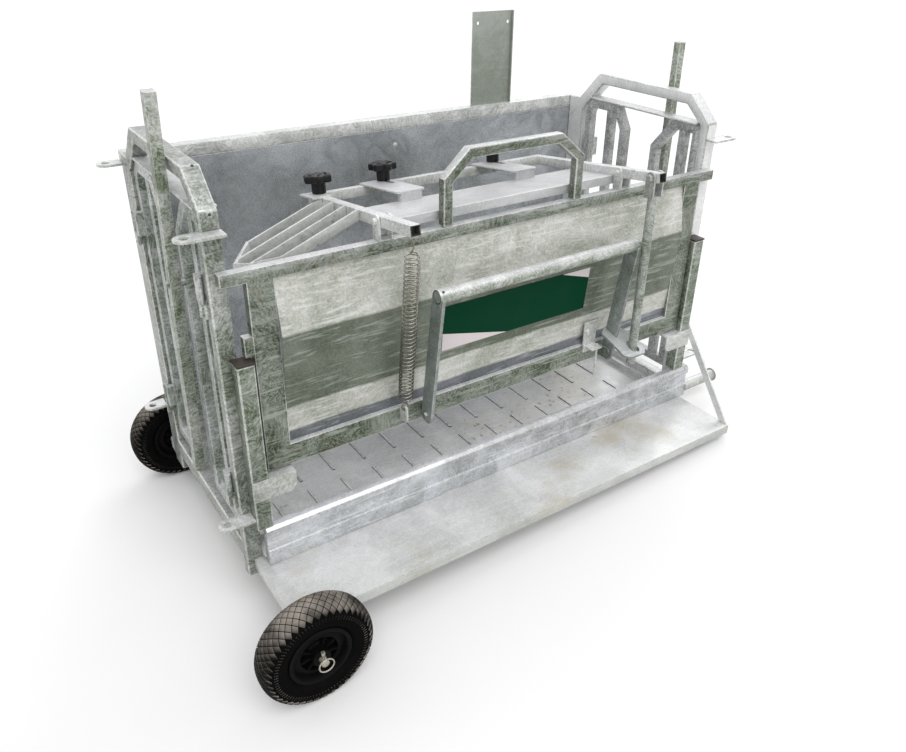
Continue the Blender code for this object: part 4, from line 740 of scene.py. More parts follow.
FINISHES = {
    # A pale zinc for rounded edges, hole rims and small bolts: on edges and rims it is a painted highlight.
    "bright edge zinc": zinc((0.74, 0.74, 0.76), spread=0.5, lift=0.6, green=0.10, rough=0.34),
    # The left arch and left gate take darker copies, and the right arch and right gate paler copies, of the
    # same zinc: painted shade at the left end and painted light at the right end.
    "left arch zinc": zinc((0.34, 0.345, 0.34), lift=0.22, shade=0.08, green=0.24, spread=0.70),
    "right arch zinc": zinc((0.92, 0.92, 0.94), spread=0.22, lift=0.6, shade=0.0, green=0.02),
    "gate zinc": zinc((0.42, 0.43, 0.44), lift=0.70, green=0.22, shade=0.10, spread=0.65),
    "right gate zinc": zinc((0.58, 0.58, 0.60), lift=0.5, green=0.06),
    "back rail zinc": zinc((0.70, 0.705, 0.73), lift=0.55, spread=0.40, green=0.04, shade=0.04),
    "back sheet zinc": zinc(
        (0.56, 0.585, 0.615),
        feather=14.0, patch=2.3, crystal=1100.0, grit=900.0, spread=0.50, rough=0.30, bump=0.06,
        green=0.0, runs=0.0, specks=0.0, shade=0.0, strokes=0.0, metallic=0.55,
    ),
    "tall plate zinc": zinc(
        (0.34, 0.355, 0.34),
        spread=0.24, shade=0.0, runs=0.1, specks=0.0, green=0.10, strokes=0.2, crystal=900.0, bump=0.08,
    ),
    "post zinc": zinc((0.235, 0.25, 0.225), green=0.36, runs=0.7, shade=0.0, lift=0.5, spread=0.75),
    "floor zinc": zinc(
        (0.84, 0.84, 0.86),
        patch=6.0, spread=0.34, specks=0.8, lift=0.20, bump=0.2, green=0.02, strokes=0.3, mud=0.25,
    ),
    "platform zinc": zinc(
        (0.78, 0.78, 0.78),
        patch=5.0, spread=0.30, specks=0.6, lift=0.40, bump=0.2, bloom=0.5, green=0.02, strokes=0.3, mud=0.75,
    ),
    "sill zinc": zinc(
        (0.58, 0.59, 0.63),
        spread=0.42, lift=0.6, green=0.02, shade=0.05, strokes=0.4, metallic=0.5, rough=0.34,
    ),
    "cradle zinc": zinc((0.185, 0.20, 0.175), green=0.38, runs=0.8, lift=0.9, shade=0.0, spread=0.80),
    "cradle sheet zinc": zinc(
        (0.575, 0.565, 0.545),
        patch=6.0, spread=0.44, bump=0.3, lift=0.2, shade=0.0, green=0.08, stroke=12.0, strokes=0.42,
        scratches=0.30,
        # The band from 0.462 to 0.652 is a painted reflection of grass on the sheet's lower facet; the band
        # from 0.350 to 0.397 is painted shade above the foot rail.
        bands=((0.462, 0.652, (0.28, 0.32, 0.265)), (0.350, 0.397, (0.30, 0.32, 0.38))),
    ),
    "hoop zinc": zinc((0.19, 0.20, 0.18), green=0.34, runs=0.8, lift=0.85, shade=0.0, spread=0.75),
    "clamp zinc": zinc((0.84, 0.84, 0.87), lift=0.8, spread=0.36, green=0.04),
    "guard zinc": zinc((0.90, 0.90, 0.92), lift=0.7, spread=0.28, green=0.02),
    "pad zinc": zinc(
        (0.66, 0.665, 0.69),
        patch=5.0, spread=0.26, lift=0.45, bump=0.15, green=0.0, strokes=0.2, crystal=700.0,
    ),
    "lug zinc": zinc((0.84, 0.84, 0.85), lift=0.8, runs=0.5, spread=0.45, green=0.06),
    "lever zinc": zinc((0.36, 0.365, 0.35), green=0.34, lift=0.5, spread=0.7, shade=0.0),
    "squeeze tube zinc": zinc((0.50, 0.505, 0.495), lift=0.8, shade=0.10, green=0.16),
    "squeeze arm zinc": zinc((0.30, 0.325, 0.33), lift=0.50, shade=0.0, green=0.10, strokes=0.3, spread=0.4),
    "rod zinc": zinc((0.33, 0.34, 0.33), lift=0.4, shade=0.0, green=0.16),
    "bearer zinc": zinc((0.40, 0.40, 0.40)),
    # A near black zinc for painted shade: in hole mouths, in the open ends of the clamp's arms and beside the
    # floor's ribs.
    "dirty seam": zinc((0.075, 0.075, 0.07), runs=0.1, specks=0.3, metallic=0.1, lift=0.0),
    "pin zinc": zinc(
        (0.55, 0.51, 0.43),
        metallic=0.75, rough=0.30, crystal=600.0, specks=0.2, spread=0.3, green=0.0, lift=0.1,
    ),
    "spring wire": zinc(
        (0.25, 0.235, 0.185),
        metallic=0.95, rough=0.2, crystal=700.0, green=0.0, runs=0.0, lift=0.3,
    ),
    "black knob plastic": moulded((0.005, 0.005, 0.005), rough=0.34, dust=0.02, specular=0.25),
    "brown cap plastic": moulded((0.030, 0.022, 0.019), dust=0.10),
    "tyre rubber": moulded((0.004, 0.004, 0.004), rough=0.8, dust=0.012, grain=600.0, specular=0.015),
    "dusty tread rubber": moulded(
        (0.008, 0.0072, 0.0065),
        rough=0.7, dust=0.95, dust_colour=(0.34, 0.305, 0.27, 1), grain=500.0, specular=0.05,
    ),
    "black rim plastic": moulded((0.003, 0.003, 0.003), dust=0.01, specular=0.05),
    "green sign paint": enamel((0.0, 0.042, 0.018), 0.15),
    "white sign paint": enamel((0.78, 0.71, 0.72), 0.3, 1.1),
}


def finish_named(name):
    """The material of that name, made on first use with its node groups."""
    found = bpy.data.materials.get(name)
    if found:
        return found
    if "Zinc crystals" not in bpy.data.node_groups:
        make_zinc_crystals()
        make_zinc_stains()
        make_painted_face_light()
        make_moulded_grain()
    make, colour, look = FINISHES[name]
    return make(name, colour, look)


# Settings


def length(name, description, default):
    return bpy.props.FloatProperty(name=name, description=description, default=default, unit="LENGTH")


def count(name, description, default, least):
    return bpy.props.IntProperty(name=name, description=description, default=default, min=least)


class CrateShapes(bpy.types.PropertyGroup):
    tube_rounding: length("Tube rounding", "Outer corner radius of the 40 and 30 mm tubes", 0.0035)
    small_rounding: length("Small tube rounding", "Outer corner radius of the 25 mm tubes", 0.0028)
    plate_rounding: length("Plate rounding", "Edge radius of plates and flats", 0.0010)
    tread_rows: count("Tread rows", "Rows of lugs across each tyre", 7, 3)
    tread_lugs: count("Tread lugs", "Lugs in one row round each tyre", 44, 12)
    lug_height: length("Lug height", "Depth of the tread", 0.0034)
    spring_turns: count("Spring turns", "Coils of the pull spring", 38, 10)
    rim_ribs: count("Rim ribs", "Ribs on each side of a rim", 9, 3)


class CrateStage(bpy.types.PropertyGroup):
    floor_colour: bpy.props.FloatVectorProperty(
        name="Floor", description="Colour of the plain floor", subtype="COLOR", default=(0.93, 0.93, 0.93)
    )
    lamp_power: bpy.props.FloatProperty(
        name="Main light", description="Strength of the large soft light from above", default=1.6
    )
    sky: bpy.props.FloatProperty(
        name="Room light", description="Strength of the even light all round", default=0.67
    )


# Operators


class CRATE_OT_frame(bpy.types.Operator):
    """Finish the end arches, posts, rails, sill and bearer"""

    bl_idname = "crate.frame"
    bl_label = "Frame tubes"

    def execute(self, context):
        for node, finish in (
            ("left_end_arch", "left arch zinc"),
            ("right_end_arch", "right arch zinc"),
            ("back_top_rail", "back rail zinc"),
            ("back_bottom_rail", "back rail zinc"),
            ("base_bearer", "bearer zinc"),
            ("left_corner_post", "post zinc"),
            ("right_corner_post", "post zinc"),
        ):
            dress(node, finish, context.scene.crate_shapes.tube_rounding)
        dress("front_sill", "sill zinc", 0.0012, 0.010)
        return {"FINISHED"}


def drain_hole(name, place, outward, body):
    """A small drilled hole: a shallow dent whose floor is painted dark as the hole's shade, with its raised
    rim of zinc.
    """
    piece = add_cylinder(name, 20, HOLE_RADIUS, 0.0012)
    start_edit(piece, "FACE")
    select_where(piece, "faces", lambda f: f.normal.z > 0.9)
    bpy.ops.mesh.inset(thickness=HOLE_RIM)
    bpy.ops.mesh.extrude_region_move(TRANSFORM_OT_translate={"value": (0, 0, -HOLE_DEPTH)})
    end_edit()
    moved(piece, standing(place, outward))
    paint(piece, "bright edge zinc", "dirty seam")
    # The dent's floor takes the second material: painted shade.
    out = Vector(outward).normalized()
    for face in piece.data.polygons:
        if (face.center - Vector(place)).dot(out) > -0.0003 and len(face.vertices) > 6:
            face.material_index = 1
    settle(smoothed(piece), body)


class CRATE_OT_holes(bpy.types.Operator):
    """Model the drain holes of the left arch and the squeeze lever's tube"""

    bl_idname = "crate.holes"
    bl_label = "Drain holes"

    def execute(self, context):
        for number, (body, place, outward) in enumerate(DRAIN_HOLES):
            drain_hole("drain_hole_" + str(number + 1), place, outward, body)
        return {"FINISHED"}


def dome_bolt(name, place, outward, body):
    """A dome headed bolt on its washer."""
    washer = round_bar(name + "_washer", (0, 0, 0), (0, 0, WASHER_THICK), WASHER_RADIUS, sides=28)
    add_ball = bpy.ops.mesh.primitive_uv_sphere_add
    dome = add_primitive(
        name, add_ball, segments=24, ring_count=12, radius=DOME_RADIUS, location=(0, 0, 0)
    )
    foot = (0, 0, DOME_FOOT)
    start_edit(dome)
    bpy.ops.mesh.select_all(action="SELECT")
    bpy.ops.mesh.bisect(plane_co=foot, plane_no=(0, 0, -1), clear_outer=True, use_fill=True)
    bpy.ops.mesh.select_all(action="SELECT")
    bpy.ops.transform.resize(value=(1, 1, DOME_FLATTENING), center_override=foot)
    bpy.ops.mesh.normals_make_consistent(inside=False)
    end_edit()
    piece = moved(welded_together([washer, dome], name), standing(place, outward))
    settle(smoothed(piece), body, ["bright edge zinc"])


class CRATE_OT_bolts(bpy.types.Operator):
    """Model the dome headed bolt of the back sheet"""

    bl_idname = "crate.bolts"
    bl_label = "Dome bolts"

    def execute(self, context):
        for number, (body, place, outward) in enumerate(DOME_BOLTS):
            dome_bolt("dome_bolt_" + str(number + 1), place, outward, body)
        return {"FINISHED"}


class CRATE_OT_plates(bpy.types.Operator):
    """Finish the sheets, the platform, the lugs and the small brackets"""

    bl_idname = "crate.plates"
    bl_label = "Sheets and plates"

    def execute(self, context):
        edge = context.scene.crate_shapes.plate_rounding
        floor = dress("ribbed_floor", "floor zinc", 0.0016, 0.05, 2)
        floor.data.materials.append(finish_named("dirty seam"))
        # Rib sides take painted shade, and the rounded rib tops take the paler edge zinc, a painted
        # highlight.
        for face in floor.data.polygons:
            beside_rib = FLOOR_TOP < face.center.z < RIB_SIDE_TOP
            if beside_rib and abs(face.normal.z) < 0.4 and abs(face.center.x) < FLOOR_HALF:
                face.material_index = 2
            elif RIB_SIDE_TOP < face.center.z < RIB_TOP:
                face.material_index = 1
        dress("platform", "platform zinc", 0.0009, 0.05, 2)
        dress("tall_back_plate", "tall plate zinc", 0.0008, 0.02, 2)
        dress("platform_brace", "right arch zinc", edge, 0.015)
        for side in ("left", "right"):
            for kind in ("upper_front", "lower_front", "upper_back", "lower_back"):
                dress(side + "_" + kind + "_lug", "lug zinc", edge, 0.002, segments=2)
            dress(side + "_gate_guide", "lug zinc", edge, 0.004, segments=2)
            dress(side + "_stop_bracket", "lug zinc", edge, 0.005, segments=2)
        for node, finish in (("back_sheet", "back sheet zinc"), ("cradle_sheet", "cradle sheet zinc")):
            node_materials = NODES[node].data.materials
            node_materials.clear()
            node_materials.append(finish_named(finish))
        return {"FINISHED"}


class CRATE_OT_gates(bpy.types.Operator):
    """Finish the half gates and their levers"""

    bl_idname = "crate.gates"
    bl_label = "Gates and levers"

    def execute(self, context):
        wide = context.scene.crate_shapes.small_rounding
        for side, finish in (("left", "gate zinc"), ("right", "right gate zinc")):
            dress(side + "_front_gate", finish, wide, 0.024)
            dress(side + "_back_gate", finish, wide, 0.024)
            dress(side + "_gate_lever", "lever zinc", wide)
        return {"FINISHED"}


class CRATE_OT_cradle(bpy.types.Operator):
    """Finish the tipping cradle's frame, hoop and brackets"""

    bl_idname = "crate.cradle"
    bl_label = "Cradle"

    def execute(self, context):
        shapes = context.scene.crate_shapes
        edge = shapes.plate_rounding
        dress("cradle_frame", "cradle zinc", shapes.small_rounding, 0.0235)
        dress("hoop_handle", "hoop zinc", shapes.small_rounding)
        for node in ("left_clamp_bracket", "right_clamp_bracket", "latch_bracket"):
            dress(node, "lug zinc", edge, 0.004, segments=2)
        dress("spring_eye", "lug zinc", edge, 0.001, 2)
        return {"FINISHED"}


class CRATE_OT_clamp(bpy.types.Operator):
    """Finish the clamp, its pad and the head guard"""

    bl_idname = "crate.clamp"
    bl_label = "Clamp"

    def execute(self, context):
        shapes = context.scene.crate_shapes
        clamp = dress("clamp_frame", "clamp zinc", shapes.small_rounding, 0.024)
        clamp.data.materials.append(finish_named("dirty seam"))
        # Faces inside the open ends of the arms take painted shade.
        back = CLAMP_FRAME.inverted()
        for face in clamp.data.polygons:
            place = back @ face.center
            beside = min(abs(place.x - arm) for arm in CLAMP_ARMS)
            if place.y < ARM_MOUTH_Y and beside < ARM_INSIDE and abs(place.z) < ARM_INSIDE:
                face.material_index = 2
        dress("clamp_pad", "pad zinc", 0.0010, 0.010, 2)
        dress("head_guard", "guard zinc", shapes.plate_rounding, 0.015, segments=2)
        return {"FINISHED"}


def star_knob(name):
    """A six lobed knob on a boss, standing on z = 0, with its stud below."""
    head = add_cylinder(name, 12, KNOB_REACH, KNOB_HEAD_HIGH, KNOB_HEAD_MIDDLE)
    start_edit(head)
    select_where(head, "verts", lambda v: round(math.degrees(math.atan2(v.co.y, v.co.x)) / 30) % 2 == 0)
    bpy.ops.transform.resize(value=(KNOB_HOLLOW, KNOB_HOLLOW, 1.0), center_override=(0, 0, 0))
    bevel_where(head, is_lobe_tip, 0.0135, 6, clamp_overlap=True)
    bevel_where(head, is_lobe_hollow, 0.0050, 4, clamp_overlap=True)
    bevel_where(head, is_level_rim, 0.0042, 4, clamp_overlap=True)
    select_kind("FACE")
    select_where(head, "faces", lambda f: f.normal.z > 0.98 and f.calc_area() > 0.0002)
    bpy.ops.mesh.inset(thickness=0.010)
    bpy.ops.transform.translate(value=(0, 0, 0.0024))
    end_edit()
    boss = add_cylinder(name + "_boss", 32, KNOB_BOSS_RADIUS, KNOB_BOSS_HIGH, KNOB_BOSS_HIGH / 2)
    start_edit(boss)
    bevel_where(boss, lambda e: max(v.co.z for v in e.verts) < 0.001, 0.0026, 3)
    end_edit()
    stud = add_cylinder(name + "_stud", 20, KNOB_STUD_RADIUS, 0.026, -0.011)
    start_edit(stud)
    bevel_where(stud, lambda e: max(v.co.z for v in e.verts) < -0.023, 0.001, 1)
    end_edit()
    return welded_together([head, boss, stud], name)


def is_upright(edge):
    return abs(edge.verts[0].co.z - edge.verts[1].co.z) > 0.01


def is_lobe_tip(edge):
    return is_upright(edge) and edge.verts[0].co.xy.length > KNOB_REACH * 0.95


def is_lobe_hollow(edge):
    return is_upright(edge) and edge.verts[0].co.xy.length < KNOB_REACH * 0.70


def is_level_rim(edge):
    """The head's top and bottom outlines."""
    if abs(edge.verts[0].co.z - edge.verts[1].co.z) > 0.0001:
        return False
    return edge.is_manifold and edge.calc_face_angle() > math.radians(50)


class CRATE_OT_knobs(bpy.types.Operator):
    """Model one star knob, stand it on its three seats and finish the caps and plugs"""

    bl_idname = "crate.knobs"
    bl_label = "Star knobs and caps"

    def execute(self, context):
        pattern = smoothed(star_knob("knob_pattern"))
        for turn, (node, x, y) in enumerate(KNOB_SEATS):
            knob = linked(node + "_moulded", pattern.data.copy())
            seat = Matrix.Translation((x, y, KNOB_SEAT_Z)) @ Matrix.Rotation(KNOB_TURN * turn, 4, "Z")
            moved(knob, CLAMP_FRAME @ seat)
            settle(knob, body_of(node), ["black knob plastic"], [node])
        bpy.data.objects.remove(pattern)
        for node in ("left_post_cap", "right_post_cap", "left_gate_plug", "right_gate_plug"):
            dress(node, "brown cap plastic", 0.0012, 0.004, 2, "brown cap plastic")
        return {"FINISHED"}


def spring_path(turns):
    """The wire's middle line: a hook through the eye, the coils, and a straight run up to the clamp's arm."""
    top, foot = CLAMP_FRAME @ Vector(SPRING_TOP_ARM), Vector(SPRING_FOOT)
    run = (top - foot).length
    along = (top - foot).normalized()
    across = along.cross(Vector((0, 1, 0))).normalized()
    third = along.cross(across)
    hook = []
    for step in range(HOOK_POINTS):
        angle = math.radians(HOOK_START - step * HOOK_STEP)
        hook.append(foot + Vector((math.cos(angle), 0, math.sin(angle))) * HOOK_RADIUS)
    steps = turns * SPRING_POINTS
    rise = (run - COILS_FROM_TOP - COILS_FROM_FOOT) / steps
    coils = []
    for step in range(steps + 1):
        near_end = min(step, steps - step) / SPRING_POINTS
        radius = SPRING_RADIUS * min(1.0, 0.25 + 0.75 * near_end)
        angle = 2 * math.pi * step / SPRING_POINTS
        middle = foot + along * (COILS_FROM_FOOT + rise * step)
        coils.append(middle + (across * math.cos(angle) + third * math.sin(angle)) * radius)
    straight = [foot + along * (run - TOP_RUN + step * TOP_STEP) for step in range(4)]
    return hook[::-1] + coils + straight


class CRATE_OT_spring(bpy.types.Operator):
    """Model the pull spring as one wire"""

    bl_idname = "crate.spring"
    bl_label = "Pull spring"

    def execute(self, context):
        points = spring_path(context.scene.crate_shapes.spring_turns)
        line = bpy.data.curves.new("spring_wire", "CURVE")
        line.dimensions = "3D"
        line.bevel_depth = SPRING_WIRE
        line.bevel_resolution = 2
        line.use_fill_caps = True
        spline = line.splines.new("POLY")
        spline.points.add(len(points) - 1)
        for place, point in zip(spline.points, points):
            place.co = (*point, 1)
        only(linked("clamp_spring_wound", line))
        bpy.ops.object.convert(target="MESH")
        piece = smoothed(bpy.context.object, math.radians(50))
        paint(piece, "spring wire")
        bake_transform(piece)
        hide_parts("clamp_spring")
        return {"FINISHED"}


def round_bar(name, start, end, radius, bore=0.0, sides=40):
    """A round bar or an open tube from start to end."""
    start, end = Vector(start), Vector(end)
    run = end - start
    piece = add_cylinder(name, sides, radius, run.length)
    start_edit(piece, "FACE")
    if bore:
        select_where(piece, "faces", lambda f: abs(f.normal.z) > 0.9)
        bpy.ops.mesh.inset(thickness=radius - bore, use_individual=True)
        for side in (-1, 1):
            bpy.ops.mesh.select_all(action="DESELECT")
            select_where(
                piece,
                "faces",
                lambda f: f.normal.z * side > 0.9 and max(v.co.xy.length for v in f.verts) < bore + 0.0002,
            )
            inwards = (0, 0, -side * TUBE_MOUTH_DEPTH)
            bpy.ops.mesh.extrude_region_move(TRANSFORM_OT_translate={"value": inwards})
    bevel_where(
        piece,
        lambda e: min(abs(v.co.z) for v in e.verts) > run.length / 2 - 0.0001
        and all(abs(v.co.xy.length - radius) < 0.0002 for v in e.verts)
        and abs(e.verts[0].co.z - e.verts[1].co.z) < 0.0001,
        0.0007,
        2,
    )
    end_edit()
    return moved(piece, standing((start + end) / 2, run))


class CRATE_OT_squeeze(bpy.types.Operator):
    """Finish the squeeze lever, its round tube, the push rod and the lift handle"""

    bl_idname = "crate.squeeze"
    bl_label = "Squeeze lever, rod and handle"

    def execute(self, context):
        edge = context.scene.crate_shapes.plate_rounding
        dress("squeeze_lever", "squeeze arm zinc", edge, 0.012, segments=2)
        left, right, radius = LEVER_TUBE
        y = LEVER_AXIS[0] - LEVER_REACH * math.sin(LEVER_SLOPE)
        z = LEVER_AXIS[1] + LEVER_REACH * math.cos(LEVER_SLOPE)
        bore = radius - LEVER_TUBE_WALL
        tube = round_bar("squeeze_lever_tube", (left, y, z), (right, y, z), radius, bore, 48)
        settle(smoothed(tube), "squeeze_lever", ["squeeze tube zinc"])
        dress("push_rod", "rod zinc", edge, 0.006, segments=2)
        low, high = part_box("push_rod")
        x = (low.x + high.x) / 2
        rod = round_bar("push_rod_bar", (x, ROD_Y, low.z - 0.0002), (x, ROD_Y, ROD_TOP), ROD_RADIUS)
        settle(smoothed(rod), "push_rod", ["rod zinc"])
        low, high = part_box("lift_handle")
        _, y, z = (low + high) / 2
        handle = round_bar("lift_handle_bar", (low.x, y, z), (high.x, y, z), HANDLE_RADIUS, sides=44)
        start_edit(handle)
        bevel_where(handle, lambda e: min(v.co.x for v in e.verts) > high.x - 0.0002, 0.006, 4)
        end_edit()
        settle(smoothed(handle), "crate", ["lug zinc"], ["lift_handle"])
        return {"FINISHED"}


def section_point(angle):
    """A point of the tyre's section as (radius, y); angle 0 is the crown and pi the bead."""
    power = 2 / TYRE_SQUARENESS
    up, out = math.cos(angle), math.sin(angle)
    high = CROWN_HIGH if up > 0 else BEAD_HIGH
    radius = TYRE_MIDDLE + high * math.copysign(abs(up) ** power, up)
    y = TYRE_HALF * math.copysign(abs(out) ** power, out)
    for ring, tall in SIDE_RINGS:
        y += math.copysign(tall * math.exp(-(((radius - ring) / SIDE_RING_HALF) ** 2)), y)
    return radius, y


def section_by_length():
    """Points of the half section from the crown outwards, with their distance along it."""
    found = []
    travelled = 0.0
    before = section_point(0)
    for step in range(181):
        here = section_point(math.radians(step / 2))
        travelled += math.dist(before, here)
        found.append((travelled, here))
        before = here
    return found


def spun_profile(name, profile, centre, steps):
    """A closed profile of (radius, y) points, drawn point by point and spun about the axle."""
    bpy.ops.object.select_all(action="DESELECT")
    bpy.ops.mesh.primitive_plane_add(size=0.01, location=(0, 0, 0))
    piece = bpy.context.object
    piece.name = name
    start_edit(piece)
    bpy.ops.mesh.select_all(action="SELECT")
    bpy.ops.mesh.merge(type="CENTER")
    radius, y = profile[0]
    bpy.ops.transform.translate(value=(centre[0] + radius, centre[1] + y, centre[2]))
    for (r0, y0), (r1, y1) in zip(profile, profile[1:]):
        bpy.ops.mesh.extrude_region_move(TRANSFORM_OT_translate={"value": (r1 - r0, y1 - y0, 0)})
    bpy.ops.mesh.select_all(action="DESELECT")
    select_where(piece, "verts", lambda v: len(v.link_edges) == 1)
    bpy.ops.mesh.edge_face_add()
    bpy.ops.mesh.select_all(action="SELECT")
    bpy.ops.mesh.spin(steps=steps, angle=2 * math.pi, center=centre, axis=(0, 1, 0), use_auto_merge=True)
    bpy.ops.mesh.select_all(action="SELECT")
    bpy.ops.mesh.remove_doubles(threshold=0.000002)
    bpy.ops.mesh.normals_make_consistent(inside=False)
    end_edit()
    return piece


def tread_lug(long, wide, high):
    """One diamond lug, flat on z = 0, with softened edges."""
    lug = add_cylinder("tread_lug", 4, 1.0, 1.0, 0.5)
    moved(lug, Matrix.Diagonal((long, wide, high, 1)))
    start_edit(lug, "FACE")
    select_where(lug, "faces", lambda f: f.normal.z > 0.9)
    bpy.ops.mesh.inset(thickness=wide * 0.10)
    bpy.ops.transform.translate(value=(0, 0, high * 0.12))
    end_edit()
    return lug


def on_section(half, travelled):
    """Radius, y and outward direction at a distance from the crown."""
    for (before, a), (after, b) in zip(half, half[1:]):
        if after >= travelled:
            share = (travelled - before) / (after - before) if after > before else 0.0
            radius = a[0] + (b[0] - a[0]) * share
            y = a[1] + (b[1] - a[1]) * share
            run = Vector((b[0] - a[0], b[1] - a[1])).normalized()
            return radius, y, Vector((run.y, -run.x))
    radius, y = half[-1][1]
    return radius, y, Vector((0, 1))


def wrapped_copies(patterns, centre, name):
    """Copies of each pattern at its places on the tyre: x runs round it, y across it, z outwards."""
    half = section_by_length()
    joined = bmesh.new()
    for pattern, places in patterns:
        for round_at, across_at in places:
            before = len(joined.verts)
            joined.from_mesh(pattern.data)
            joined.verts.ensure_lookup_table()
            for vert in joined.verts[before:]:
                across = across_at + vert.co.y
                radius, y, out = on_section(half, abs(across))
                tilt = Vector((out.x, math.copysign(out.y, across)))
                radius += tilt.x * vert.co.z
                y = math.copysign(y, across) + tilt.y * vert.co.z
                angle = round_at + vert.co.x / WHEEL_RADIUS
                x, z = radius * math.sin(angle), radius * math.cos(angle)
                vert.co = (centre[0] + x, centre[1] + y, centre[2] + z)
    bmesh.ops.recalc_face_normals(joined, faces=joined.faces)
    mesh = bpy.data.meshes.new(name)
    joined.to_mesh(mesh)
    joined.free()
    return linked(name, mesh)


class CRATE_OT_tyres(bpy.types.Operator):
    """Model the tyres with their diamond tread"""

    bl_idname = "crate.tyres"
    bl_label = "Tyres"

    def execute(self, context):
        shapes = context.scene.crate_shapes
        around, rows = shapes.tread_lugs, shapes.tread_rows
        pitch = 2 * math.pi / around
        lug = tread_lug(WHEEL_RADIUS * pitch / 2 - 0.0009, TREAD_ROW_GAP - 0.0010, shapes.lug_height)
        add_cube = bpy.ops.mesh.primitive_cube_add
        tick = add_primitive("side_tick", add_cube, size=1.0, location=(0, 0, 0), scale=TICK_SIZE)
        lug_places = [
            ((step + 0.5 * (row % 2)) * pitch, (row - (rows - 1) / 2) * TREAD_ROW_GAP)
            for row in range(rows)
            for step in range(around)
        ]
        tick_places = [
            (step * pitch / 2, side * TICK_ACROSS) for side in (-1, 1) for step in range(around * 2)
        ]
        patterns = ((lug, lug_places), (tick, tick_places))
        profile = [section_point(2 * math.pi * step / TYRE_POINTS) for step in range(TYRE_POINTS)]
        for name, y, _ in WHEELS:
            centre = (WHEEL_X, y, WHEEL_Z)
            body = spun_profile(name + "_tyre_carcass", profile, centre, TYRE_STEPS)
            paint(body, "tyre rubber")
            tread = wrapped_copies(patterns, centre, name + "_tread")
            paint(tread, "dusty tread rubber")
            smoothed(body, SOFT)
            tyre = smoothed(welded_together([body, tread], name + "_tyre_moulded"), SOFT)
            settle(tyre, name + "_wheel", (), [name + "_tyre"])
        bpy.data.objects.remove(lug)
        bpy.data.objects.remove(tick)
        return {"FINISHED"}


class CRATE_OT_rims(bpy.types.Operator):
    """Model the ribbed rims, the axle and the linch pins"""

    bl_idname = "crate.rims"
    bl_label = "Rims, axle and pins"

    def execute(self, context):
        ribs = context.scene.crate_shapes.rim_ribs
        profile = list(RIM_HALF_PROFILE) + [(radius, -y) for radius, y in reversed(RIM_HALF_PROFILE)]
        for name, y, side in WHEELS:
            centre = Vector((WHEEL_X, y, WHEEL_Z))
            parts = [spun_profile(name + "_rim_dish", profile, centre, RIM_STEPS)]
            for face in (-1, 1):
                place = (RIM_RIB_PLACE[0], face * RIM_RIB_PLACE[1], 0)
                add_cube = bpy.ops.mesh.primitive_cube_add
                rib = add_primitive(name + "_rib", add_cube, size=1.0, location=place, scale=RIM_RIB_SIZE)
                start_edit(rib)
                bevel_where(rib, lambda e: abs(e.verts[0].co.x - e.verts[1].co.x) > 0.01, 0.0006, 2)
                end_edit()
                for step in range(ribs):
                    copy = linked(name + "_rib_copy", rib.data.copy())
                    turn = Matrix.Rotation(2 * math.pi * step / ribs + 0.2, 4, "Y")
                    parts.append(moved(copy, Matrix.Translation(centre) @ turn))
                bpy.data.objects.remove(rib)
            rim = smoothed(welded_together(parts, name + "_rim_moulded"))
            settle(rim, name + "_wheel", ["black rim plastic"], [name + "_rim"])
            linch_pin(name, centre, side)
        dress("axle", "pin zinc", 0.0010, 0.001, 2)
        return {"FINISHED"}


def linch_pin(name, centre, side):
    """A pin through the axle with a sprung ring that lies in front of the hub."""
    x, y, z = centre
    pin_y = y + side * PIN_Y
    ring_y = y + side * PIN_RING_Y
    pin = round_bar(name + "_pin", (x, pin_y, z - 0.017), (x, pin_y, z + 0.022), PIN_RADIUS, sides=16)
    head_foot, head_top = (x, pin_y, z + 0.0175), (x, pin_y, z + 0.0245)
    head = round_bar(name + "_pin_head", head_foot, head_top, PIN_HEAD_RADIUS, sides=16)
    ring = add_primitive(
        name + "_ring",
        bpy.ops.mesh.primitive_torus_add,
        major_radius=PIN_RING_RADIUS,
        minor_radius=PIN_RING_WIRE,
        major_segments=48,
        minor_segments=10,
        location=(x, ring_y, z),
        rotation=(math.pi / 2, 0, 0),
    )
    neck_start = (x, pin_y - side * 0.002, z + 0.0185)
    neck = round_bar(name + "_neck", neck_start, (x, ring_y, z + PIN_RING_RADIUS), 0.0022, sides=12)
    made = smoothed(welded_together([pin, head, ring, neck], name + "_linch_pin_bent"))
    node = name + "_linch_pin"
    settle(made, body_of(node), ["pin zinc"], [node])


class CRATE_OT_sign(bpy.types.Operator):
    """Finish the plain green plate with its white corners"""

    bl_idname = "crate.sign"
    bl_label = "Sign plate"

    def execute(self, context):
        piece = merged_copy("sign_plate")
        low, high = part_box("sign_plate")
        wide, tall = high.x - low.x, high.z - low.z
        outward = []
        for corner, (across, up), turn in ((low, LOWER_CORNER, 1), (high, UPPER_CORNER, -1)):
            start = Vector((corner.x, 0, corner.z + turn * up * tall))
            end = Vector((corner.x + turn * across * wide, 0, corner.z))
            normal = (end - start).cross(Vector((0, 1, 0))).normalized()
            start_edit(piece)
            bpy.ops.mesh.select_all(action="SELECT")
            bpy.ops.mesh.bisect(plane_co=start, plane_no=normal)
            end_edit()
            middle = Vector(((low.x + high.x) / 2, 0, (low.z + high.z) / 2))
            if (middle - start).dot(normal) > 0:
                normal = -normal
            outward.append((start, normal))
        paint(piece, "green sign paint", "white sign paint")
        for face in piece.data.polygons:
            if any((face.center - start).dot(normal) > 0 for start, normal in outward):
                face.material_index = 1
        settle(smoothed(piece), body_of("sign_plate"), (), ["sign_plate"])
        return {"FINISHED"}


# Stage


def white_to_the_camera(tree):
    """1 for rays that show a background: camera, glossy and transmission rays."""
    rays = tree.nodes.new("ShaderNodeLightPath").outputs
    seen = calculated(tree, "ADD", rays["Is Camera Ray"], rays["Is Glossy Ray"])
    return calculated(tree, "ADD", seen, rays["Is Transmission Ray"], clamped=True)


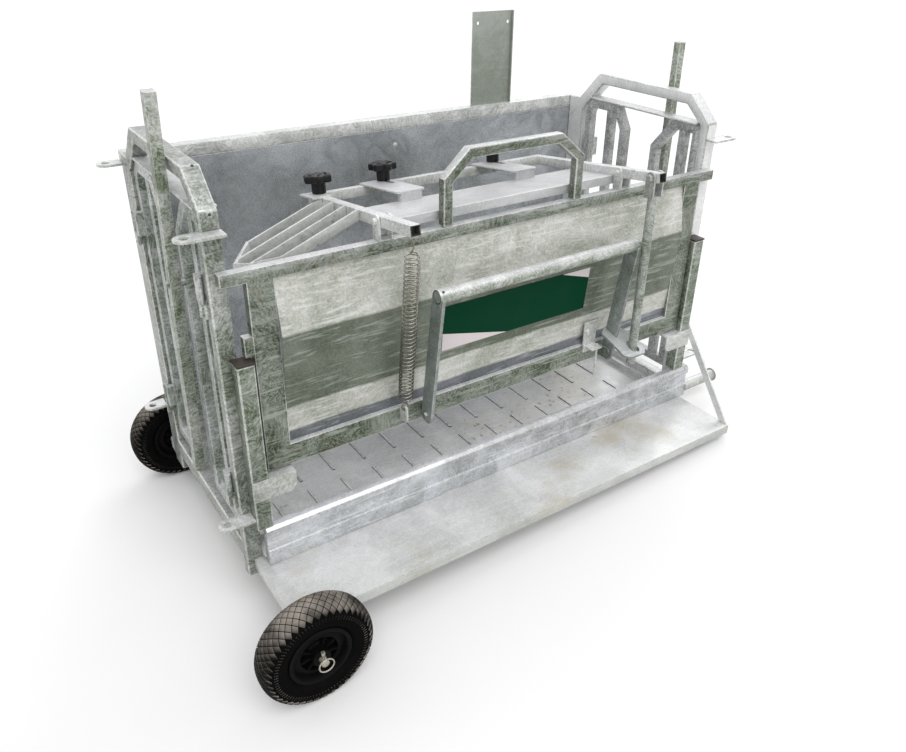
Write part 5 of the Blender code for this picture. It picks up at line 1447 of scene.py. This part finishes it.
def lay_floor(colour):
    """A plain floor under the wheels and the feet of the right end."""
    slope = math.atan2(WHEELS_BELOW_FEET, FEET_FROM_WHEELS)
    piece = add_primitive(
        "floor",
        bpy.ops.mesh.primitive_plane_add,
        size=FLOOR_SIZE,
        location=(0, 0, RIGHT_FEET_X * math.tan(slope) - WHEELS_BELOW_FEET),
        rotation=(0, -slope, 0),
    )
    made, tree, shader = new_material("plain floor")
    shader.inputs["Roughness"].default_value = 0.9
    shader.inputs["Specular IOR Level"].default_value = 0.1
    tone = mixed(tree, white_to_the_camera(tree), (0.50, 0.50, 0.50, 1), (*colour, 1))
    connect(tree, shader, {"Base Color": tone})
    piece.data.materials.append(made)


def hang_lamp(name, place, spread, strength):
    """A distant lamp as wide as a stretch of bright sky, so that it lights the whole floor evenly."""
    lamp = bpy.data.lights.new(name, "SUN")
    lamp.angle = spread
    lamp.energy = strength
    made = linked(name, lamp)
    made.location = place
    aim = Vector(LAMP_AIM) - Vector(place)
    made.rotation_euler = aim.to_track_quat("-Z", "Y").to_euler()


def light_the_room(strength):
    world = bpy.data.worlds.new("plain room")
    bpy.context.scene.world = world
    world.use_nodes = True
    tree = world.node_tree
    level = ranged(tree, white_to_the_camera(tree), 0.0, 1.0, strength, 1.0)
    connect(tree, tree.nodes["Background"], {"Color": (1, 1, 1, 1), "Strength": level})


def stand_camera():
    lens = bpy.data.cameras.new("photo camera")
    lens.sensor_fit = "HORIZONTAL"
    lens.sensor_width = SENSOR
    lens.lens = FOCAL_PIXELS * SENSOR / PHOTO_WIDE
    lens.shift_x = -(PRINCIPAL[0] - PHOTO_WIDE / 2) / PHOTO_WIDE
    lens.shift_y = (PRINCIPAL[1] - PHOTO_HIGH / 2) / PHOTO_WIDE
    made = linked("photo camera", lens)
    turn = Matrix((Vector(CAMERA_RIGHT), -Vector(CAMERA_DOWN), -Vector(CAMERA_AHEAD))).transposed()
    made.matrix_world = Matrix.Translation(CAMERA_PLACE) @ turn.to_4x4()
    bpy.context.scene.camera = made


class CRATE_OT_stage(bpy.types.Operator):
    """Lay the floor, hang the lamps and stand the camera"""

    bl_idname = "crate.stage"
    bl_label = "Floor, lamps and camera"

    def execute(self, context):
        stage = context.scene.crate_stage
        lay_floor(tuple(stage.floor_colour))
        light_the_room(stage.sky)
        for name, place, spread, share in LAMPS:
            hang_lamp(name, place, spread, stage.lamp_power * share)
        stand_camera()
        context.scene.view_settings.view_transform = "Standard"
        return {"FINISHED"}


STEPS = (
    CRATE_OT_stage,
    CRATE_OT_frame,
    CRATE_OT_holes,
    CRATE_OT_bolts,
    CRATE_OT_plates,
    CRATE_OT_gates,
    CRATE_OT_cradle,
    CRATE_OT_clamp,
    CRATE_OT_knobs,
    CRATE_OT_spring,
    CRATE_OT_squeeze,
    CRATE_OT_tyres,
    CRATE_OT_rims,
    CRATE_OT_sign,
)


class CRATE_PT_sidebar(bpy.types.Panel):
    """Lists the crate's building steps"""

    bl_label = "Sheep turnover crate"
    bl_space_type = "VIEW_3D"
    bl_region_type = "UI"
    bl_category = "Crate"

    def draw(self, context):
        for settings in (context.scene.crate_shapes, context.scene.crate_stage):
            for name in settings.__annotations__:
                self.layout.prop(settings, name)
        for step in STEPS:
            self.layout.operator(step.bl_idname)


CLASSES = (CrateShapes, CrateStage, *STEPS, CRATE_PT_sidebar)


def register():
    for each in CLASSES:
        bpy.utils.register_class(each)
    bpy.types.Scene.crate_shapes = bpy.props.PointerProperty(type=CrateShapes)
    bpy.types.Scene.crate_stage = bpy.props.PointerProperty(type=CrateStage)


def unregister():
    del bpy.types.Scene.crate_stage
    del bpy.types.Scene.crate_shapes
    for each in reversed(CLASSES):
        bpy.utils.unregister_class(each)


def main():
    register()
    bpy.ops.object.select_all(action="DESELECT")
    bpy.ops.crate.stage()
    bpy.ops.crate.frame()
    bpy.ops.crate.holes()
    bpy.ops.crate.bolts()
    bpy.ops.crate.plates()
    bpy.ops.crate.gates()
    bpy.ops.crate.cradle()
    bpy.ops.crate.clamp()
    bpy.ops.crate.knobs()
    bpy.ops.crate.spring()
    bpy.ops.crate.squeeze()
    bpy.ops.crate.tyres()
    bpy.ops.crate.rims()
    bpy.ops.crate.sign()
    bpy.context.view_layer.update()


if __name__ == "__main__":
    main()
